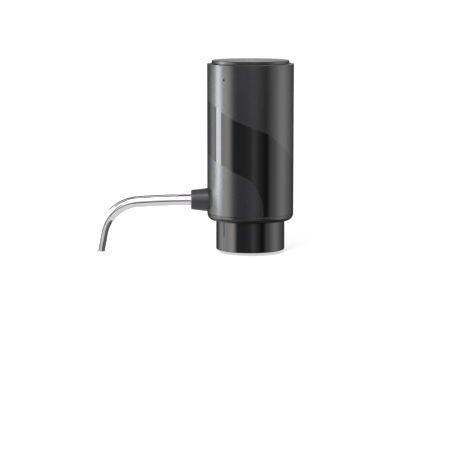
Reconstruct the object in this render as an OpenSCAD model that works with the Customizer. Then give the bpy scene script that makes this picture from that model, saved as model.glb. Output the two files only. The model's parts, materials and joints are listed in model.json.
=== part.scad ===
// Electric wine aerator. A battery air pump in a round housing drives the liquid up through a
// suction nipple and out of a bent spout, which swivels in a soft boot.
// Millimetres, +Z up. The origin is the centre of the neck socket's mouth, in the plane of the
// collar's lower face. The spout points to -X and the charging port to +Y.

/* [Housing sleeve] */
// Outer diameter of the housing sleeve
body_d = 53; // [52.5:0.1:58]
// Wall of the sleeve
sleeve_wall = 1.6; // [1.2:0.05:1.9]
// Height of the sleeve
sleeve_h = 91.6; // [91:0.2:110]
// Chamfer round the sleeve's upper rim
rim_chamfer = 0.35; // [0.1:0.05:0.6]
// How far the rim closes in round the button
rim_lip_w = 0.4; // [0.2:0.05:0.7]
// Height of the lip that the rim forms there
rim_lip_h = 2.6; // [2:0.1:3]

/* [Ring under the sleeve] */
// Height of the rounded ring under the sleeve
ring_h = 4; // [3.6:0.1:6]
// How far the ring rounds inwards down to its lower edge
ring_inset = 3; // [1.6:0.1:3.6]
// Thickness of the ring's floor
floor_t = 2.5; // [2:0.1:3]
// Height of the register that enters the sleeve
register_h = 5; // [3:0.2:8]
// Wall of the register
register_t = 1.5; // [1:0.1:1.8]
// Height of the snap bead round the register
bead_h = 0.8; // [0.6:0.1:1.2]
// How far the bead reaches into the sleeve's groove
bead_reach = 0.3; // [0.2:0.05:0.5]

/* [Collar] */
// Outer diameter of the collar
collar_d = 42.1; // [41:0.1:44]
// Height of the collar
collar_h = 18.4; // [17:0.1:22]
// Wall of the collar
collar_wall = 1.8; // [1.4:0.1:2.2]
// Thickness of the collar's roof
collar_roof_t = 2.7; // [2.4:0.1:3.2]
// Rounding of the collar's lower edge
collar_edge_r = 0.5; // [0.3:0.05:1]

/* [Neck seal] */
// Bore of the seal, a sliding fit on a lip of 29.5 mm
lip_d = 29.6; // [28:0.1:30.5]
// How deep the lip goes into the seal
lip_depth = 12.4; // [9:0.1:13]
// Thickness of the soft lip round the bore
seal_lip_t = 1.6; // [1:0.1:2]
// Width of the relief groove behind the soft lip
seal_groove_w = 1.4; // [0.8:0.1:1.6]
// Depth of the relief groove
seal_groove_depth = 6; // [3:0.2:8]
// Opening in the seal's ceiling round the nipple
seal_hole_d = 14.4; // [14.2:0.1:15]
// Radius of the soft rib in the ceiling, on which the lip seals
rib_place_r = 11.25; // [10.8:0.05:11.6]
// Width of the rib
rib_w = 1.5; // [1:0.1:1.8]
// Width of the groove on each side of the rib
rib_groove_w = 0.9; // [0.6:0.05:1]
// Depth of these grooves
rib_groove_depth = 0.8; // [0.5:0.05:1.2]

/* [Wine manifold] */
// Outer diameter of the suction nipple
nipple_d = 6; // [5:0.1:6.4]
// Bore of the suction nipple and riser
nipple_bore_d = 3.8; // [3:0.1:4.2]
// Free length of the suction nipple
nipple_len = 6.2; // [5:0.1:6.6]
// Lead-in at the nipple's mouth
nipple_lead = 0.4; // [0.2:0.05:0.6]
// Depth of the pocket round the nipple's root
pocket_depth = 4.1; // [3:0.1:4.4]
// Diameter of the spigot that passes the collar's roof
spigot_d = 16.8; // [16.4:0.1:17.4]
// Wall of the spigot
spigot_wall = 1.4; // [1.2:0.05:1.6]
// Diameter of the manifold's flange
flange_d = 29.6; // [27:0.2:30]
// Thickness of the manifold's flange
flange_t = 2.5; // [2:0.1:3]
// Outer diameter of the riser
riser_d = 12.8; // [12:0.1:13]
// Outer diameter of the spout socket
socket_d = 12; // [11.6:0.1:12.8]
// Distance from the riser's axis to the shoulder that stops the spout tube
shoulder_x = 8.5; // [7:0.1:9]
// Bore of the flow path between riser and spout
flow_d = 4.6; // [4:0.1:5.4]
// Height of the air port above the ring's floor
air_port_rise = 5.5; // [5.4:0.1:6]
// Outer diameter of the air nipples
air_nipple_d = 3.8; // [3.4:0.1:4]
// Bore of the air passages
air_bore_d = 2.2; // [1.6:0.1:2.4]
// Bore of the bleed that mixes air into the liquid
bleed_d = 1; // [0.6:0.1:1.4]
// Section of the ring that seals the spigot
spigot_ring_section = 0.85; // [0.7:0.05:0.9]
// Distance from the collar's roof up to this ring's groove
spigot_ring_rise = 1.5; // [1:0.1:1.5]
// Section of the rings that seal the spout tube
spout_ring_section = 1.2; // [1:0.05:1.3]
// Distance from the riser's axis to the first of these rings
spout_ring_x = 12.4; // [12:0.1:13]
// Distance between the two rings
spout_ring_pitch = 4.2; // [3.6:0.1:4.4]

/* [Venturi insert] */
// Throat of the venturi insert
throat_d = 2.2; // [1.6:0.1:3]
// Length of the venturi insert
venturi_len = 5.5; // [4:0.1:5.8]

/* [Spout tube] */
// Height of the spout's axis above the sleeve's lower edge
spout_rise = 7.95; // [7.4:0.05:9]
// Outer diameter of the spout tube
tube_d = 6.8; // [6:0.1:7.2]
// Wall of the spout tube
tube_wall = 0.5; // [0.4:0.05:0.8]
// Straight length of the tube beyond the sleeve
tube_run = 9.5; // [9:0.1:14]
// Radius of the long gentle arc
sag_r = 455; // [300:5:600]
// Angle of the long gentle arc
sag_angle = 4.2; // [2:0.1:5]
// Radius of the bend
bend_r = 23.9; // [16:0.1:30]
// Angle of the bend
bend_angle = 75; // [55:0.5:85]
// Straight length at the tube's tip
tip_len = 11.1; // [6:0.1:20]

/* [Spout boot] */
// Diameter of the boot at the sleeve
boot_base_d = 14.4; // [13.4:0.1:14.8]
// Diameter of the boot at its free end
boot_end_d = 12; // [10.6:0.1:12.6]
// How far the boot stands out of the sleeve
boot_len = 9.95; // [6:0.05:12]
// Rounding of the boot's free end
boot_edge_r = 0.65; // [0.3:0.05:0.9]
// Diameter of the flange behind the sleeve's wall
boot_flange_d = 17.2; // [16.4:0.1:18]
// How far the boot reaches in behind the sleeve's bore
boot_depth = 3.2; // [2.6:0.1:3.6]

/* [Top button] */
// Gap between the button and the sleeve's rim
button_gap = 0.85; // [0.4:0.05:1]
// How far the button stands above the rim
button_proud = 2; // [1.6:0.05:3]
// Travel of the button
button_travel = 1; // [0.6:0.05:1.2]
// Rounding of the button's upper edge
button_edge_r = 0.3; // [0.2:0.05:1]
// Thickness of the button's top
button_top_t = 1.6; // [1.2:0.1:1.9]
// Wall of the button's skirt
button_skirt_t = 1.4; // [1:0.1:1.8]
// Gap from the pressed button's skirt to the deck below it
button_bottom_gap = 0.6; // [0.4:0.05:1.2]
// Radius at which the snap legs stand
leg_place_r = 19.3; // [19:0.1:19.6]
// Width of a snap leg
leg_w = 5; // [4:0.1:6]
// Thickness of a snap leg
leg_t = 1.4; // [1:0.1:1.6]
// How far the hook of a snap leg reaches out
hook_reach = 1.2; // [1:0.1:1.4]
// Height of the hook
hook_h = 1.4; // [1:0.1:1.6]
// Diameter of the post that presses the switch
post_d = 4.4; // [3.6:0.1:5]
// Length of this post
post_len = 4.1; // [3.6:0.1:4.4]

/* [Button spring] */
// Mean diameter of the spring
spring_d = 17; // [14:0.2:20]
// Diameter of the spring's wire
spring_wire_d = 0.9; // [0.6:0.05:1.1]
// Turns of the spring
spring_turns = 4; // [3:0.5:5]
// Part of a turn that lies flat at each end
spring_flat = 0.25; // [0:0.05:0.3]

/* [Top deck and switch board] */
// Distance from the rim down to the deck's upper face
deck_below_rim = 5.9; // [5.8:0.05:6.2]
// Thickness of the top deck
deck_t = 1.6; // [1.4:0.1:1.8]
// Gap between the switch board and the front column
switch_board_gap = 2.4; // [1.6:0.1:3]
// Thickness of the circuit boards
board_t = 1.2; // [0.8:0.1:1.6]
// Side of the push switch
switch_w = 7; // [6:0.1:7.4]
// Height of the push switch
switch_h = 3.9; // [3.5:0.1:4]
// Diameter of the switch's plunger
plunger_d = 3.4; // [3:0.1:4]
// Distance from the switch board's edge to a board boss
boss_inset = 4; // [3.4:0.1:4.6]
// Diameter of a board boss
boss_d = 4.4; // [4:0.1:5]
// Width of the flat ribbon between the two boards
ribbon_w = 6; // [4:0.5:8]
// Thickness of the flat ribbon
ribbon_t = 0.5; // [0.4:0.05:0.8]
// How far the flat ribbon lies on the main board
ribbon_foot = 5; // [4:0.5:8]
// How far it leans inwards above the yoke
ribbon_lean = 3; // [1:0.5:4]
// Height over which it leans
ribbon_lean_h = 8; // [5:0.5:10]

/* [Status light] */
// Distance from the rim down to the light
light_below_rim = 9.1; // [9:0.05:9.3]
// Angle of the light from the front, towards the spout
light_angle = 38.1; // [30:0.1:44]
// Diameter of the pinhole in the sleeve
light_hole_d = 1.3; // [1:0.05:1.6]
// Diameter of the light-emitting diode
led_d = 2.5; // [2:0.1:2.6]
// Length of the light-emitting diode
led_len = 4.6; // [4:0.1:5]
// Distance from the board's edge in to the diode's foot
led_inset = 2; // [1.6:0.1:2.6]
// Diameter of the light pipe's flange
pipe_flange_d = 2.8; // [2.2:0.1:3]

/* [Charging port] */
// Width of the port's metal shell
port_w = 8.94; // [8.6:0.02:9.2]
// Height of the port's metal shell
port_h = 3.2; // [3:0.02:3.4]
// Wall of the port's metal shell
port_wall = 0.3; // [0.2:0.05:0.4]
// How far the port's mouth lies inside the sleeve's outer face
port_recess = 0.9; // [0.6:0.05:1.4]
// Clearance round the port in the sleeve's slot
port_clear = 0.35; // [0.2:0.05:0.5]
// Height of the port above the lower deck
port_rise = 9; // [6:0.2:20]

/* [Main board] */
// Height of the main board
main_board_h = 43; // [34:0.5:43.5]
// How deep the board stands in the grooves of the rear columns
board_groove = 1.05; // [0.8:0.05:1.4]
// Side of the controller chip
chip_w = 5; // [4:0.5:7]
// Thickness of the controller chip
chip_t = 1.1; // [0.8:0.1:1.4]
// Width of the socket for the battery's leads
lead_socket_w = 6; // [5:0.5:8]
// Height of this socket
lead_socket_h = 4.5; // [3.5:0.5:6]
// How far it stands in from the board
lead_socket_depth = 3.6; // [3:0.1:4]
// Diameter of the capacitor
capacitor_d = 5; // [4:0.5:6]
// Length of the capacitor
capacitor_len = 4.4; // [3.5:0.1:4.8]

/* [Battery] */
// Length of the cell
cell_len = 50; // [48:0.2:52]
// Gap between the cell's cup and the sleeve, which with the pump sets the cell's diameter
cell_sleeve_gap = 3; // [2.6:0.05:3.6]
// Gap between the cell and the pump
cell_pump_gap = 2.6; // [2.4:0.1:3]
// Gap between the cell and the bench
cell_rise = 0.6; // [0.5:0.05:1]
// Width of the nickel tabs on the cell's ends
tab_w = 5; // [4:0.1:6]
// Thickness of the tabs
tab_t = 0.3; // [0.15:0.05:0.35]
// Diameter of the leads
lead_d = 1.2; // [0.8:0.1:1.4]
// Distance from the cell's axis to a lead at its foot
lead_foot_y = 1.6; // [1.2:0.1:1.8]
// Distance from the board boss beside them to the leads' upper ends, along X
lead_boss_x = 3.8; // [3.4:0.1:5]
// How far they spread apart on their way up
lead_spread = 2; // [1:0.5:3]

/* [Motor] */
// Diameter of the motor can
motor_d = 24.4; // [23.6:0.1:24.8]
// Length of the motor can with its end cap
motor_len = 31; // [29:0.2:33]
// Wall of the motor can
can_wall = 0.8; // [0.6:0.1:1]
// Diameter of the boss on the motor's face
motor_boss_d = 6; // [5:0.1:7]
// Diameter of the motor shaft
shaft_d = 2; // [1.5:0.1:2.4]
// Wall of the shaft's bushes
bush_wall = 1; // [0.8:0.1:1.2]
// Distance from the motor's axis to the screws in its face
motor_screw_place_r = 8.5; // [8:0.1:9]
// Distance from the motor's axis to its terminals
terminal_x = 5.5; // [5.2:0.1:6]
// Radial thickness of the magnets
magnet_t = 2.1; // [1.6:0.1:2.2]
// Gap between the magnets and the armature
air_gap = 0.4; // [0.35:0.05:0.6]
// Length of the armature's laminated core
core_len = 15; // [12:0.2:17]
// Distance from the motor's face to the core
core_rise = 6; // [5:0.2:7]
// Width of the core's three arms
core_arm_w = 2.6; // [2:0.1:3]
// Thickness of the core's pole heads
pole_t = 1.6; // [1.2:0.1:2]
// Half the angle that a pole head spans
pole_half_angle = 52; // [48:1:54]
// Diameter of the commutator
commutator_d = 5.6; // [4.8:0.1:6]
// Length of the commutator
commutator_len = 3.8; // [3:0.1:4]
// Thickness of the rubber band round the can
band_t = 0.8; // [0.5:0.05:1]

/* [Pump head] */
// Diameter of the pump head
pump_d = 27; // [26.4:0.1:27.2]
// Height of the pump's cover
cover_h = 3.4; // [3:0.1:4]
// Thickness of the valve plate
valve_plate_t = 2; // [1.6:0.1:2.4]
// Thickness of the diaphragm's flange
diaphragm_t = 1.2; // [0.8:0.1:1.4]
// Height of the cup carrier
carrier_h = 6.6; // [6:0.1:7.4]
// Height of the pump frame
frame_h = 13.8; // [13.4:0.1:15]
// Wall of the pump frame
frame_wall = 1.9; // [1.6:0.1:2]
// Thickness of the frame's top plate, which carries the motor
frame_plate_t = 1.6; // [1.2:0.1:1.8]
// Distance from the pump head's edge to its screws
pump_screw_inset = 1.9; // [1.8:0.05:2.1]
// Distance from the pump's axis to a cup
cup_place_r = 6.6; // [6.4:0.05:6.7]
// Outer diameter of a cup
cup_d = 7.8; // [7:0.1:8]
// Wall of a cup
cup_wall = 0.8; // [0.6:0.05:1]
// Height of a cup above the diaphragm's flange
cup_h = 4.6; // [4:0.1:5]
// Gap between the motor's face and the eccentric
eccentric_gap = 3.2; // [3:0.1:3.6]
// Height of the wobble plate above the cup carrier
wobble_rise = 1.4; // [1.2:0.1:1.6]
// Thickness of the wobble plate's arms
arm_t = 1.6; // [1.2:0.1:1.8]
// Diameter of the eccentric
eccentric_d = 10; // [9:0.1:11]
// Height of the eccentric
eccentric_h = 5.2; // [4.8:0.1:5.4]
// Diameter of the drive pin
drive_pin_d = 1.4; // [1.2:0.05:1.5]
// Tilt of the drive pin
drive_pin_tilt = 14; // [10:0.5:16]
// Distance from the motor's axis to the drive pin at the eccentric
drive_pin_offset = 1.9; // [1.6:0.05:2]
// Thickness of the pad under the pump
pad_t = 1; // [0.8:0.05:1.4]
// Free length of the pump's outlet nipple
outlet_len = 5.5; // [4.8:0.1:6]
// Distance from the pump's axis to its outlet
outlet_offset = 7; // [6.6:0.1:7.2]

/* [Air hose] */
// Outer diameter of the air hose
hose_d = 5.4; // [5:0.1:5.6]
// Bend radius of the air hose at its centre line
hose_bend_r = 4.6; // [4:0.1:4.8]
// How far the hose goes over a nipple
hose_grip = 3; // [2:0.1:3.2]
// Distance from the lower nipple's tip to the hose's bend
hose_tip_gap = 0.4; // [0.2:0.1:0.8]

/* [Chassis] */
// Thickness of the lower deck
lower_deck_t = 2; // [1.6:0.1:2.4]
// Gap between the manifold and the lower deck
manifold_gap = 0.6; // [0.4:0.05:1]
// Gap between a chassis leg and the manifold's flange
foot_flange_gap = 0.6; // [0.4:0.05:0.8]
// Gap between a chassis leg and the register, which with the flange sets the leg's diameter
foot_register_gap = 2.1; // [1.9:0.05:2.4]
// Angle of the first chassis leg
foot_angle = 25; // [23:0.5:27]
// Diameter of a column
column_d = 4.8; // [4.4:0.1:5.2]
// Angle of a rear column from the side of the housing
rear_column_angle = 52.2; // [51:0.1:53]
// Gap between a rear column and the sleeve's bore
rear_column_gap = 0.4; // [0.35:0.05:0.6]
// Height of the yoke that holds the motor and the cell
yoke_h = 5; // [4:0.1:6]
// Gap between the top of the main board and the yoke
yoke_gap = 1; // [0.6:0.1:2]
// Wall of the yoke's rings
yoke_wall = 1.2; // [1:0.05:1.4]
// Gap between the yoke and the sleeve
yoke_sleeve_gap = 0.9; // [0.6:0.05:1.2]
// Gap between the front column and the sleeve's bore
front_column_gap = 1.1; // [0.9:0.05:1.4]
// Thickness of the webs between columns and rings
web_t = 1.8; // [1.4:0.1:2.4]

/* [Screws] */
// Thread diameter of the structural screws
screw_d = 2; // [1.8:0.1:2.2]
// Head diameter of the structural screws
screw_head_d = 3.8; // [3.4:0.1:4]
// Head height of the structural screws
screw_head_h = 1.3; // [1:0.1:1.4]
// Thread diameter of the pump's screws
pump_screw_d = 1.6; // [1.4:0.1:1.7]
// Circle on which the collar screws stand
collar_screw_place_r = 12.5; // [12:0.1:12.7]
// Angle of the first collar screw
collar_screw_angle = 85; // [80:1:90]
// How far the chassis screws go into the legs
foot_screw_depth = 8.3; // [6:0.1:9]
// How far the deck screws go into the columns
column_screw_depth = 6.9; // [5:0.1:9]
// How deep the deck screws' heads are sunk
deck_screw_sink = 0.5; // [0.3:0.05:0.8]
// How far the pump's screws go into its frame
pump_screw_depth = 5.5; // [4:0.1:6]
// Head height of the pump's screws
pump_head_h = 1.1; // [0.8:0.1:1.2]

/* [Fits] */
// Gap between pieces that are fixed to each other
fit_gap = 0.1; // [0.05:0.01:0.12]
// Radial clearance of a running fit
run_gap = 0.05; // [0.03:0.01:0.08]
// Gap between a moving piece and a fixed one
move_gap = 0.35; // [0.3:0.01:0.4]
// How much wider a clearance hole is than its screw
hole_clear = 0.3; // [0.2:0.05:0.4]
// How much wider a recess is than the screw's head
recess_clear = 0.4; // [0.3:0.05:0.6]
// How much deeper a threaded hole is than its screw
hole_relief = 0.6; // [0.3:0.1:1]

/* [Hidden] */
$fn = 64;
eps = 0.01;

// Radii from the diameters
body_r = body_d / 2;
sleeve_ir = body_r - sleeve_wall;
inner_r = sleeve_ir - fit_gap;
cut_len = body_r + 5;
collar_r = collar_d / 2;
collar_ir = collar_r - collar_wall;
spigot_r = spigot_d / 2;
cavity_r = spigot_r - spigot_wall;
nipple_r = nipple_d / 2;
air_nipple_r = air_nipple_d / 2;
tube_r = tube_d / 2;
socket_bore_r = tube_r + run_gap;
rim_ir = sleeve_ir - rim_lip_w;
button_r = rim_ir - button_gap;
motor_r = motor_d / 2;
pump_r = pump_d / 2;
bush_r = shaft_d / 2 + bush_wall;
core_r = motor_r - can_wall - fit_gap - magnet_t - air_gap;
hub_bore_r = drive_pin_offset + drive_pin_d / 2 + fit_gap;
lead_r = lead_d / 2;
leg_in = leg_place_r - leg_t / 2;
register_ir = inner_r - register_t;
flange_r = flange_d / 2;
foot_d = register_ir - flange_r - foot_flange_gap - foot_register_gap;
foot_place_r = flange_r + foot_flange_gap + foot_d / 2;
valve_stem_r = 0.8;

// Holes for the screws, and the pump screws' heads
screw_hole_d = screw_d + hole_clear;
thread_hole_d = screw_d + fit_gap;
head_recess_d = screw_head_d + recess_clear;
pump_hole_d = pump_screw_d + hole_clear;
pump_thread_hole_d = pump_screw_d + fit_gap;
pump_head_d = pump_screw_d * 1.9;

// Heights, from the collar's lower face up
z_ring = collar_h;
z_sleeve = z_ring + ring_h;
z_rim = z_sleeve + sleeve_h;
z_top = z_rim + button_proud;
z_floor = z_ring + floor_t;
z_roof = z_ring - collar_roof_t;
z_spigot = z_roof + fit_gap;
z_nipple_root = z_spigot + pocket_depth;
z_nipple = z_nipple_root - nipple_len;
z_bead = z_sleeve + register_h - 2 * bead_h;
z_spout = z_sleeve + spout_rise;
z_air_port = z_floor + air_port_rise;
spigot_groove_w = spigot_ring_section * 1.3;
z_spigot_ring = z_roof + spigot_ring_rise + spigot_groove_w / 2;
z_manifold_top = z_spout + riser_d / 2;
z_lower_deck = z_manifold_top + manifold_gap;
z_bench = z_lower_deck + lower_deck_t;
z_port = z_bench + port_rise;
z_cell = z_bench + cell_rise;
z_tab = z_cell + cell_len + fit_gap;
z_pump = z_bench + pad_t;
z_valve = z_pump + cover_h;
z_diaphragm = z_valve + valve_plate_t;
z_carrier = z_diaphragm + diaphragm_t;
z_frame = z_carrier + carrier_h;
z_wobble = z_frame + wobble_rise;
z_motor = z_frame + frame_h;
z_eccentric = z_motor - eccentric_gap - eccentric_h;
z_core = z_motor + core_rise;
z_motor_top = z_motor + motor_len;
z_yoke = z_bench + main_board_h + yoke_gap;
z_deck_top = z_rim - deck_below_rim;
z_deck = z_deck_top - deck_t;
z_light = z_rim - light_below_rim;
z_board_top = z_light - led_d / 2;
z_board = z_board_top - board_t;
z_cap = z_top - button_top_t;
z_skirt = z_deck_top + button_bottom_gap + button_travel;
z_switch_floor = z_board_top + 0.6;
z_hook_top = z_deck - fit_gap;
z_plunger = z_cap - post_len;

// Places in plan
pump_x = sleeve_ir - yoke_sleeve_gap - yoke_wall - fit_gap - band_t - motor_r;
cell_right = pump_x - pump_r - cell_pump_gap;
cell_left = yoke_wall + fit_gap + cell_sleeve_gap - sleeve_ir;
cell_d = cell_right - cell_left;
cell_r = cell_d / 2;
cell_x = (cell_left + cell_right) / 2;
outlet_x = pump_x + outlet_offset;
port_tip_x = outlet_x - hose_bend_r - hose_tip_gap;
boot_plug_x = sleeve_ir - boot_depth;
column_r = column_d / 2;
rear_column_r = inner_r - column_r - rear_column_gap;
column_x = rear_column_r * cos(rear_column_angle);
rear_column_y = rear_column_r * sin(rear_column_angle);
front_column_y = -(inner_r - column_r - front_column_gap);
main_board_y = rear_column_y - board_t / 2;
main_board_w = 2 * (column_x - column_r + board_groove);
switch_board_d = 2 * (-front_column_y - column_r - switch_board_gap);
boss_place_r = switch_board_d / 2 - boss_inset;
led_place_r = switch_board_d / 2 - led_inset;
column_places = [[0, front_column_y], [column_x, rear_column_y], [-column_x, rear_column_y]];
foot_angles = [for (i = [0:2]) foot_angle + 120 * i];
collar_screw_angles = [for (i = [0:2]) collar_screw_angle + 120 * i];
hook_angles = [90, 210, 330];
boss_angles = [10, 190];
cup_angles = [60, 180, 300];
pump_screw_angles = [0, 120, 240];
pole_angles = [0, 120, 240];
pump_screw_place_r = pump_r - pump_screw_inset;
air_passage_x = (nipple_r + cavity_r) / 2;

// Small sizes that two pieces share
end_cap_t = 1;
terminal_t = 0.4;
terminal_rise = 1.8;
shaft_stop = 1;
pump_seat = pump_head_h + fit_gap;
spout_ring_places = [spout_ring_x, spout_ring_x + spout_ring_pitch];

// Spout path: centres of the two arcs and the point where the tip begins
run_x = -(body_r + tube_run);
sag_c = [run_x, z_spout - sag_r];
sag_end = sag_c + sag_r * [-sin(sag_angle), cos(sag_angle)];
bend_c = sag_end - bend_r * [-sin(sag_angle), cos(sag_angle)];
tip_angle = sag_angle + bend_angle;
tip_start = bend_c + bend_r * [-sin(tip_angle), cos(tip_angle)];
// The tube's laps: how far one stretch goes into the next, and how much thinner it is there
lap = 0.3;
lap_step = 0.02;

// Points round the base ring's rounding
ring_steps = 16;
// Angles at which a rounded edge has its points
edge_angles = [0:15:90];

module at_angle(a, r) {
    rotate([0, 0, a]) translate([r, 0, 0]) children();
}

module at_columns() {
    for (p = column_places) translate([p[0], p[1], 0]) children();
}

module at_feet() {
    for (a = foot_angles) at_angle(a, foot_place_r) children();
}

module at_collar_screws() {
    for (a = collar_screw_angles) at_angle(a, collar_screw_place_r) children();
}

module at_bosses() {
    for (a = boss_angles) at_angle(a, boss_place_r) children();
}

module at_cups() {
    for (a = cup_angles) at_angle(a, cup_place_r) children();
}

module at_pump_screws() {
    for (a = pump_screw_angles) at_angle(a, pump_screw_place_r) children();
}

module at_pump(z) {
    translate([pump_x, 0, z]) children();
}

// On the spout's axis, pointing outwards, x from the housing's axis
module along_spout(x) {
    translate([-x, 0, z_spout]) rotate([0, -90, 0]) children();
}

// On the status light's axis, pointing outwards, r from the housing's axis
module along_light(r) {
    translate([0, 0, z_light]) rotate([0, 90, -90 - light_angle]) translate([0, 0, r]) children();
}

module ring(r, bore_r) {
    difference() {
        circle(r = r);
        circle(r = bore_r);
    }
}

module tube(r, bore_r, h) {
    linear_extrude(h) ring(r, bore_r);
}

module torus(r, section_r) {
    rotate_extrude() translate([r, 0]) circle(r = section_r, $fn = 32);
}

// A bar with round ends, w wide in X and h high in Z, that runs along +Y
module round_bar(w, h, length) {
    translate([-(w - h) / 2, 0, -h / 2]) cube([w - h, length, h]);
    for (s = [-1, 1]) translate([s * (w - h) / 2, 0, 0]) rotate([-90, 0, 0]) cylinder(d = h, h = length);
}

// A pan-head screw that points up, with its head's seat at Z = 0
module screw(d, head_d, head_h, length) {
    difference() {
        union() {
            translate([0, 0, -head_h]) cylinder(d1 = head_d * 0.8, d2 = head_d, h = head_h * 0.4);
            translate([0, 0, -head_h * 0.6]) cylinder(d = head_d, h = head_h * 0.6);
            cylinder(d = d, h = length - d / 2);
            translate([0, 0, length - d / 2]) cylinder(d1 = d, d2 = d * 0.3, h = d / 2);
        }
        for (a = [0, 90]) rotate([0, 0, a])
            translate([-head_d * 0.28, -head_d * 0.07, -head_h - eps])
                cube([head_d * 0.56, head_d * 0.14, head_h * 0.55]);
    }
}

// Rings of points round a path, joined into one closed skin
function unit(v) = v / norm(v);
function path_dir(p, i) = unit(p[min(i + 1, len(p) - 1)] - p[max(i - 1, 0)]);
function path_side(t) = unit(cross(t, abs(t[2]) < 0.9 ? [0, 0, 1] : [0, 1, 0]));
module wire(path, r, sides = 6) {
    n = len(path);
    points = [for (i = [0:n - 1]) let (t = path_dir(path, i), u = path_side(t), v = cross(t, u))
        for (j = [0:sides - 1]) path[i] + r * (cos(360 * j / sides) * u + sin(360 * j / sides) * v)];
    caps = [[for (j = [0:sides - 1]) j], [for (j = [sides - 1:-1:0]) (n - 1) * sides + j]];
    skin = [for (i = [0:n - 2], j = [0:sides - 1])
        let (a = i * sides + j, b = i * sides + (j + 1) % sides)
        each [[a, a + sides, b], [b, a + sides, b + sides]]];
    polyhedron(points, concat(caps, skin), convexity = 6);
}

module outer_sleeve() {
    groove_r = sleeve_ir + bead_reach;
    color([0.17, 0.17, 0.18]) difference() {
        rotate_extrude() polygon([
            [sleeve_ir, z_sleeve], [body_r, z_sleeve], [body_r, z_rim - rim_chamfer],
            [body_r - rim_chamfer, z_rim], [rim_ir, z_rim],
            [rim_ir, z_rim - rim_lip_h], [sleeve_ir, z_rim - rim_lip_h - rim_lip_w],
            [sleeve_ir, z_bead + bead_h + fit_gap], [groove_r, z_bead + bead_h + fit_gap],
            [groove_r, z_bead - fit_gap], [sleeve_ir, z_bead - fit_gap]]);
        along_spout(0) cylinder(d = boot_base_d + 2 * fit_gap, h = cut_len);
        along_light(0) cylinder(d = light_hole_d, h = cut_len);
        translate([0, 0, z_port])
            round_bar(port_w + 2 * port_clear, port_h + 2 * port_clear, cut_len);
    }
}

module base_ring() {
    hole_r = spigot_r + fit_gap;
    edge_r = body_r - ring_inset;
    bead_r = inner_r + bead_reach;
    notch_r = boot_flange_d / 2 + fit_gap;
    color([0.23, 0.23, 0.24]) difference() {
        rotate_extrude() polygon(concat(
            [[hole_r, z_ring], [edge_r, z_ring]],
            [for (i = [1:ring_steps]) let (a = 90 - 90 * i / ring_steps)
                [edge_r + ring_inset * cos(a), z_sleeve - ring_h * sin(a)]],
            [[inner_r, z_sleeve], [inner_r, z_bead], [bead_r, z_bead], [bead_r, z_bead + bead_h / 2],
             [inner_r, z_bead + bead_h], [inner_r, z_sleeve + register_h],
             [register_ir, z_sleeve + register_h], [register_ir, z_floor], [hole_r, z_floor]]));
        // The boot's flange stands in a notch, which leaves the ring's outer face whole
        along_spout(0) cylinder(r = notch_r, h = inner_r);
        intersection() {
            along_spout(0) cylinder(r = notch_r, h = cut_len);
            translate([0, 0, z_sleeve]) cylinder(r = cut_len, h = register_h + 1);
        }
        at_feet() {
            translate([0, 0, z_ring - eps]) cylinder(d = head_recess_d, h = screw_head_h + fit_gap);
            translate([0, 0, z_ring - eps]) cylinder(d = screw_hole_d, h = floor_t + 1);
        }
        at_collar_screws() translate([0, 0, z_ring - eps]) cylinder(d = screw_hole_d, h = floor_t + 1);
    }
}

module bottle_collar() {
    hole_r = spigot_r + fit_gap;
    edge = collar_edge_r;
    color([0.06, 0.06, 0.07]) difference() {
        rotate_extrude() polygon(concat(
            [[collar_ir, 0]],
            [for (a = edge_angles) [collar_r - edge + edge * sin(a), edge - edge * cos(a)]],
            [[collar_r, z_ring], [hole_r, z_ring], [hole_r, z_roof], [collar_ir, z_roof]]));
        at_collar_screws() {
            translate([0, 0, z_roof - eps]) cylinder(d = head_recess_d, h = screw_head_h + fit_gap);
            translate([0, 0, z_roof - eps]) cylinder(d = screw_hole_d, h = collar_roof_t + 1);
        }
    }
}

module neck_seal() {
    relief_r = lip_d / 2 + seal_lip_t;
    rib_in = rib_place_r - rib_w / 2;
    rib_out = rib_place_r + rib_w / 2;
    color([0.20, 0.20, 0.21]) difference() {
        cylinder(r = collar_ir - fit_gap, h = z_roof);
        translate([0, 0, -eps]) cylinder(d = lip_d, h = lip_depth + eps);
        translate([0, 0, lip_depth - eps]) cylinder(d = seal_hole_d, h = z_roof);
        translate([0, 0, -eps]) tube(relief_r + seal_groove_w, relief_r, seal_groove_depth);
        // A groove on each side leaves a soft rib in the ceiling
        for (r = [rib_in - rib_groove_w, rib_out]) translate([0, 0, lip_depth - eps])
            tube(r + rib_groove_w, r, rib_groove_depth);
    }
}

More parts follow.
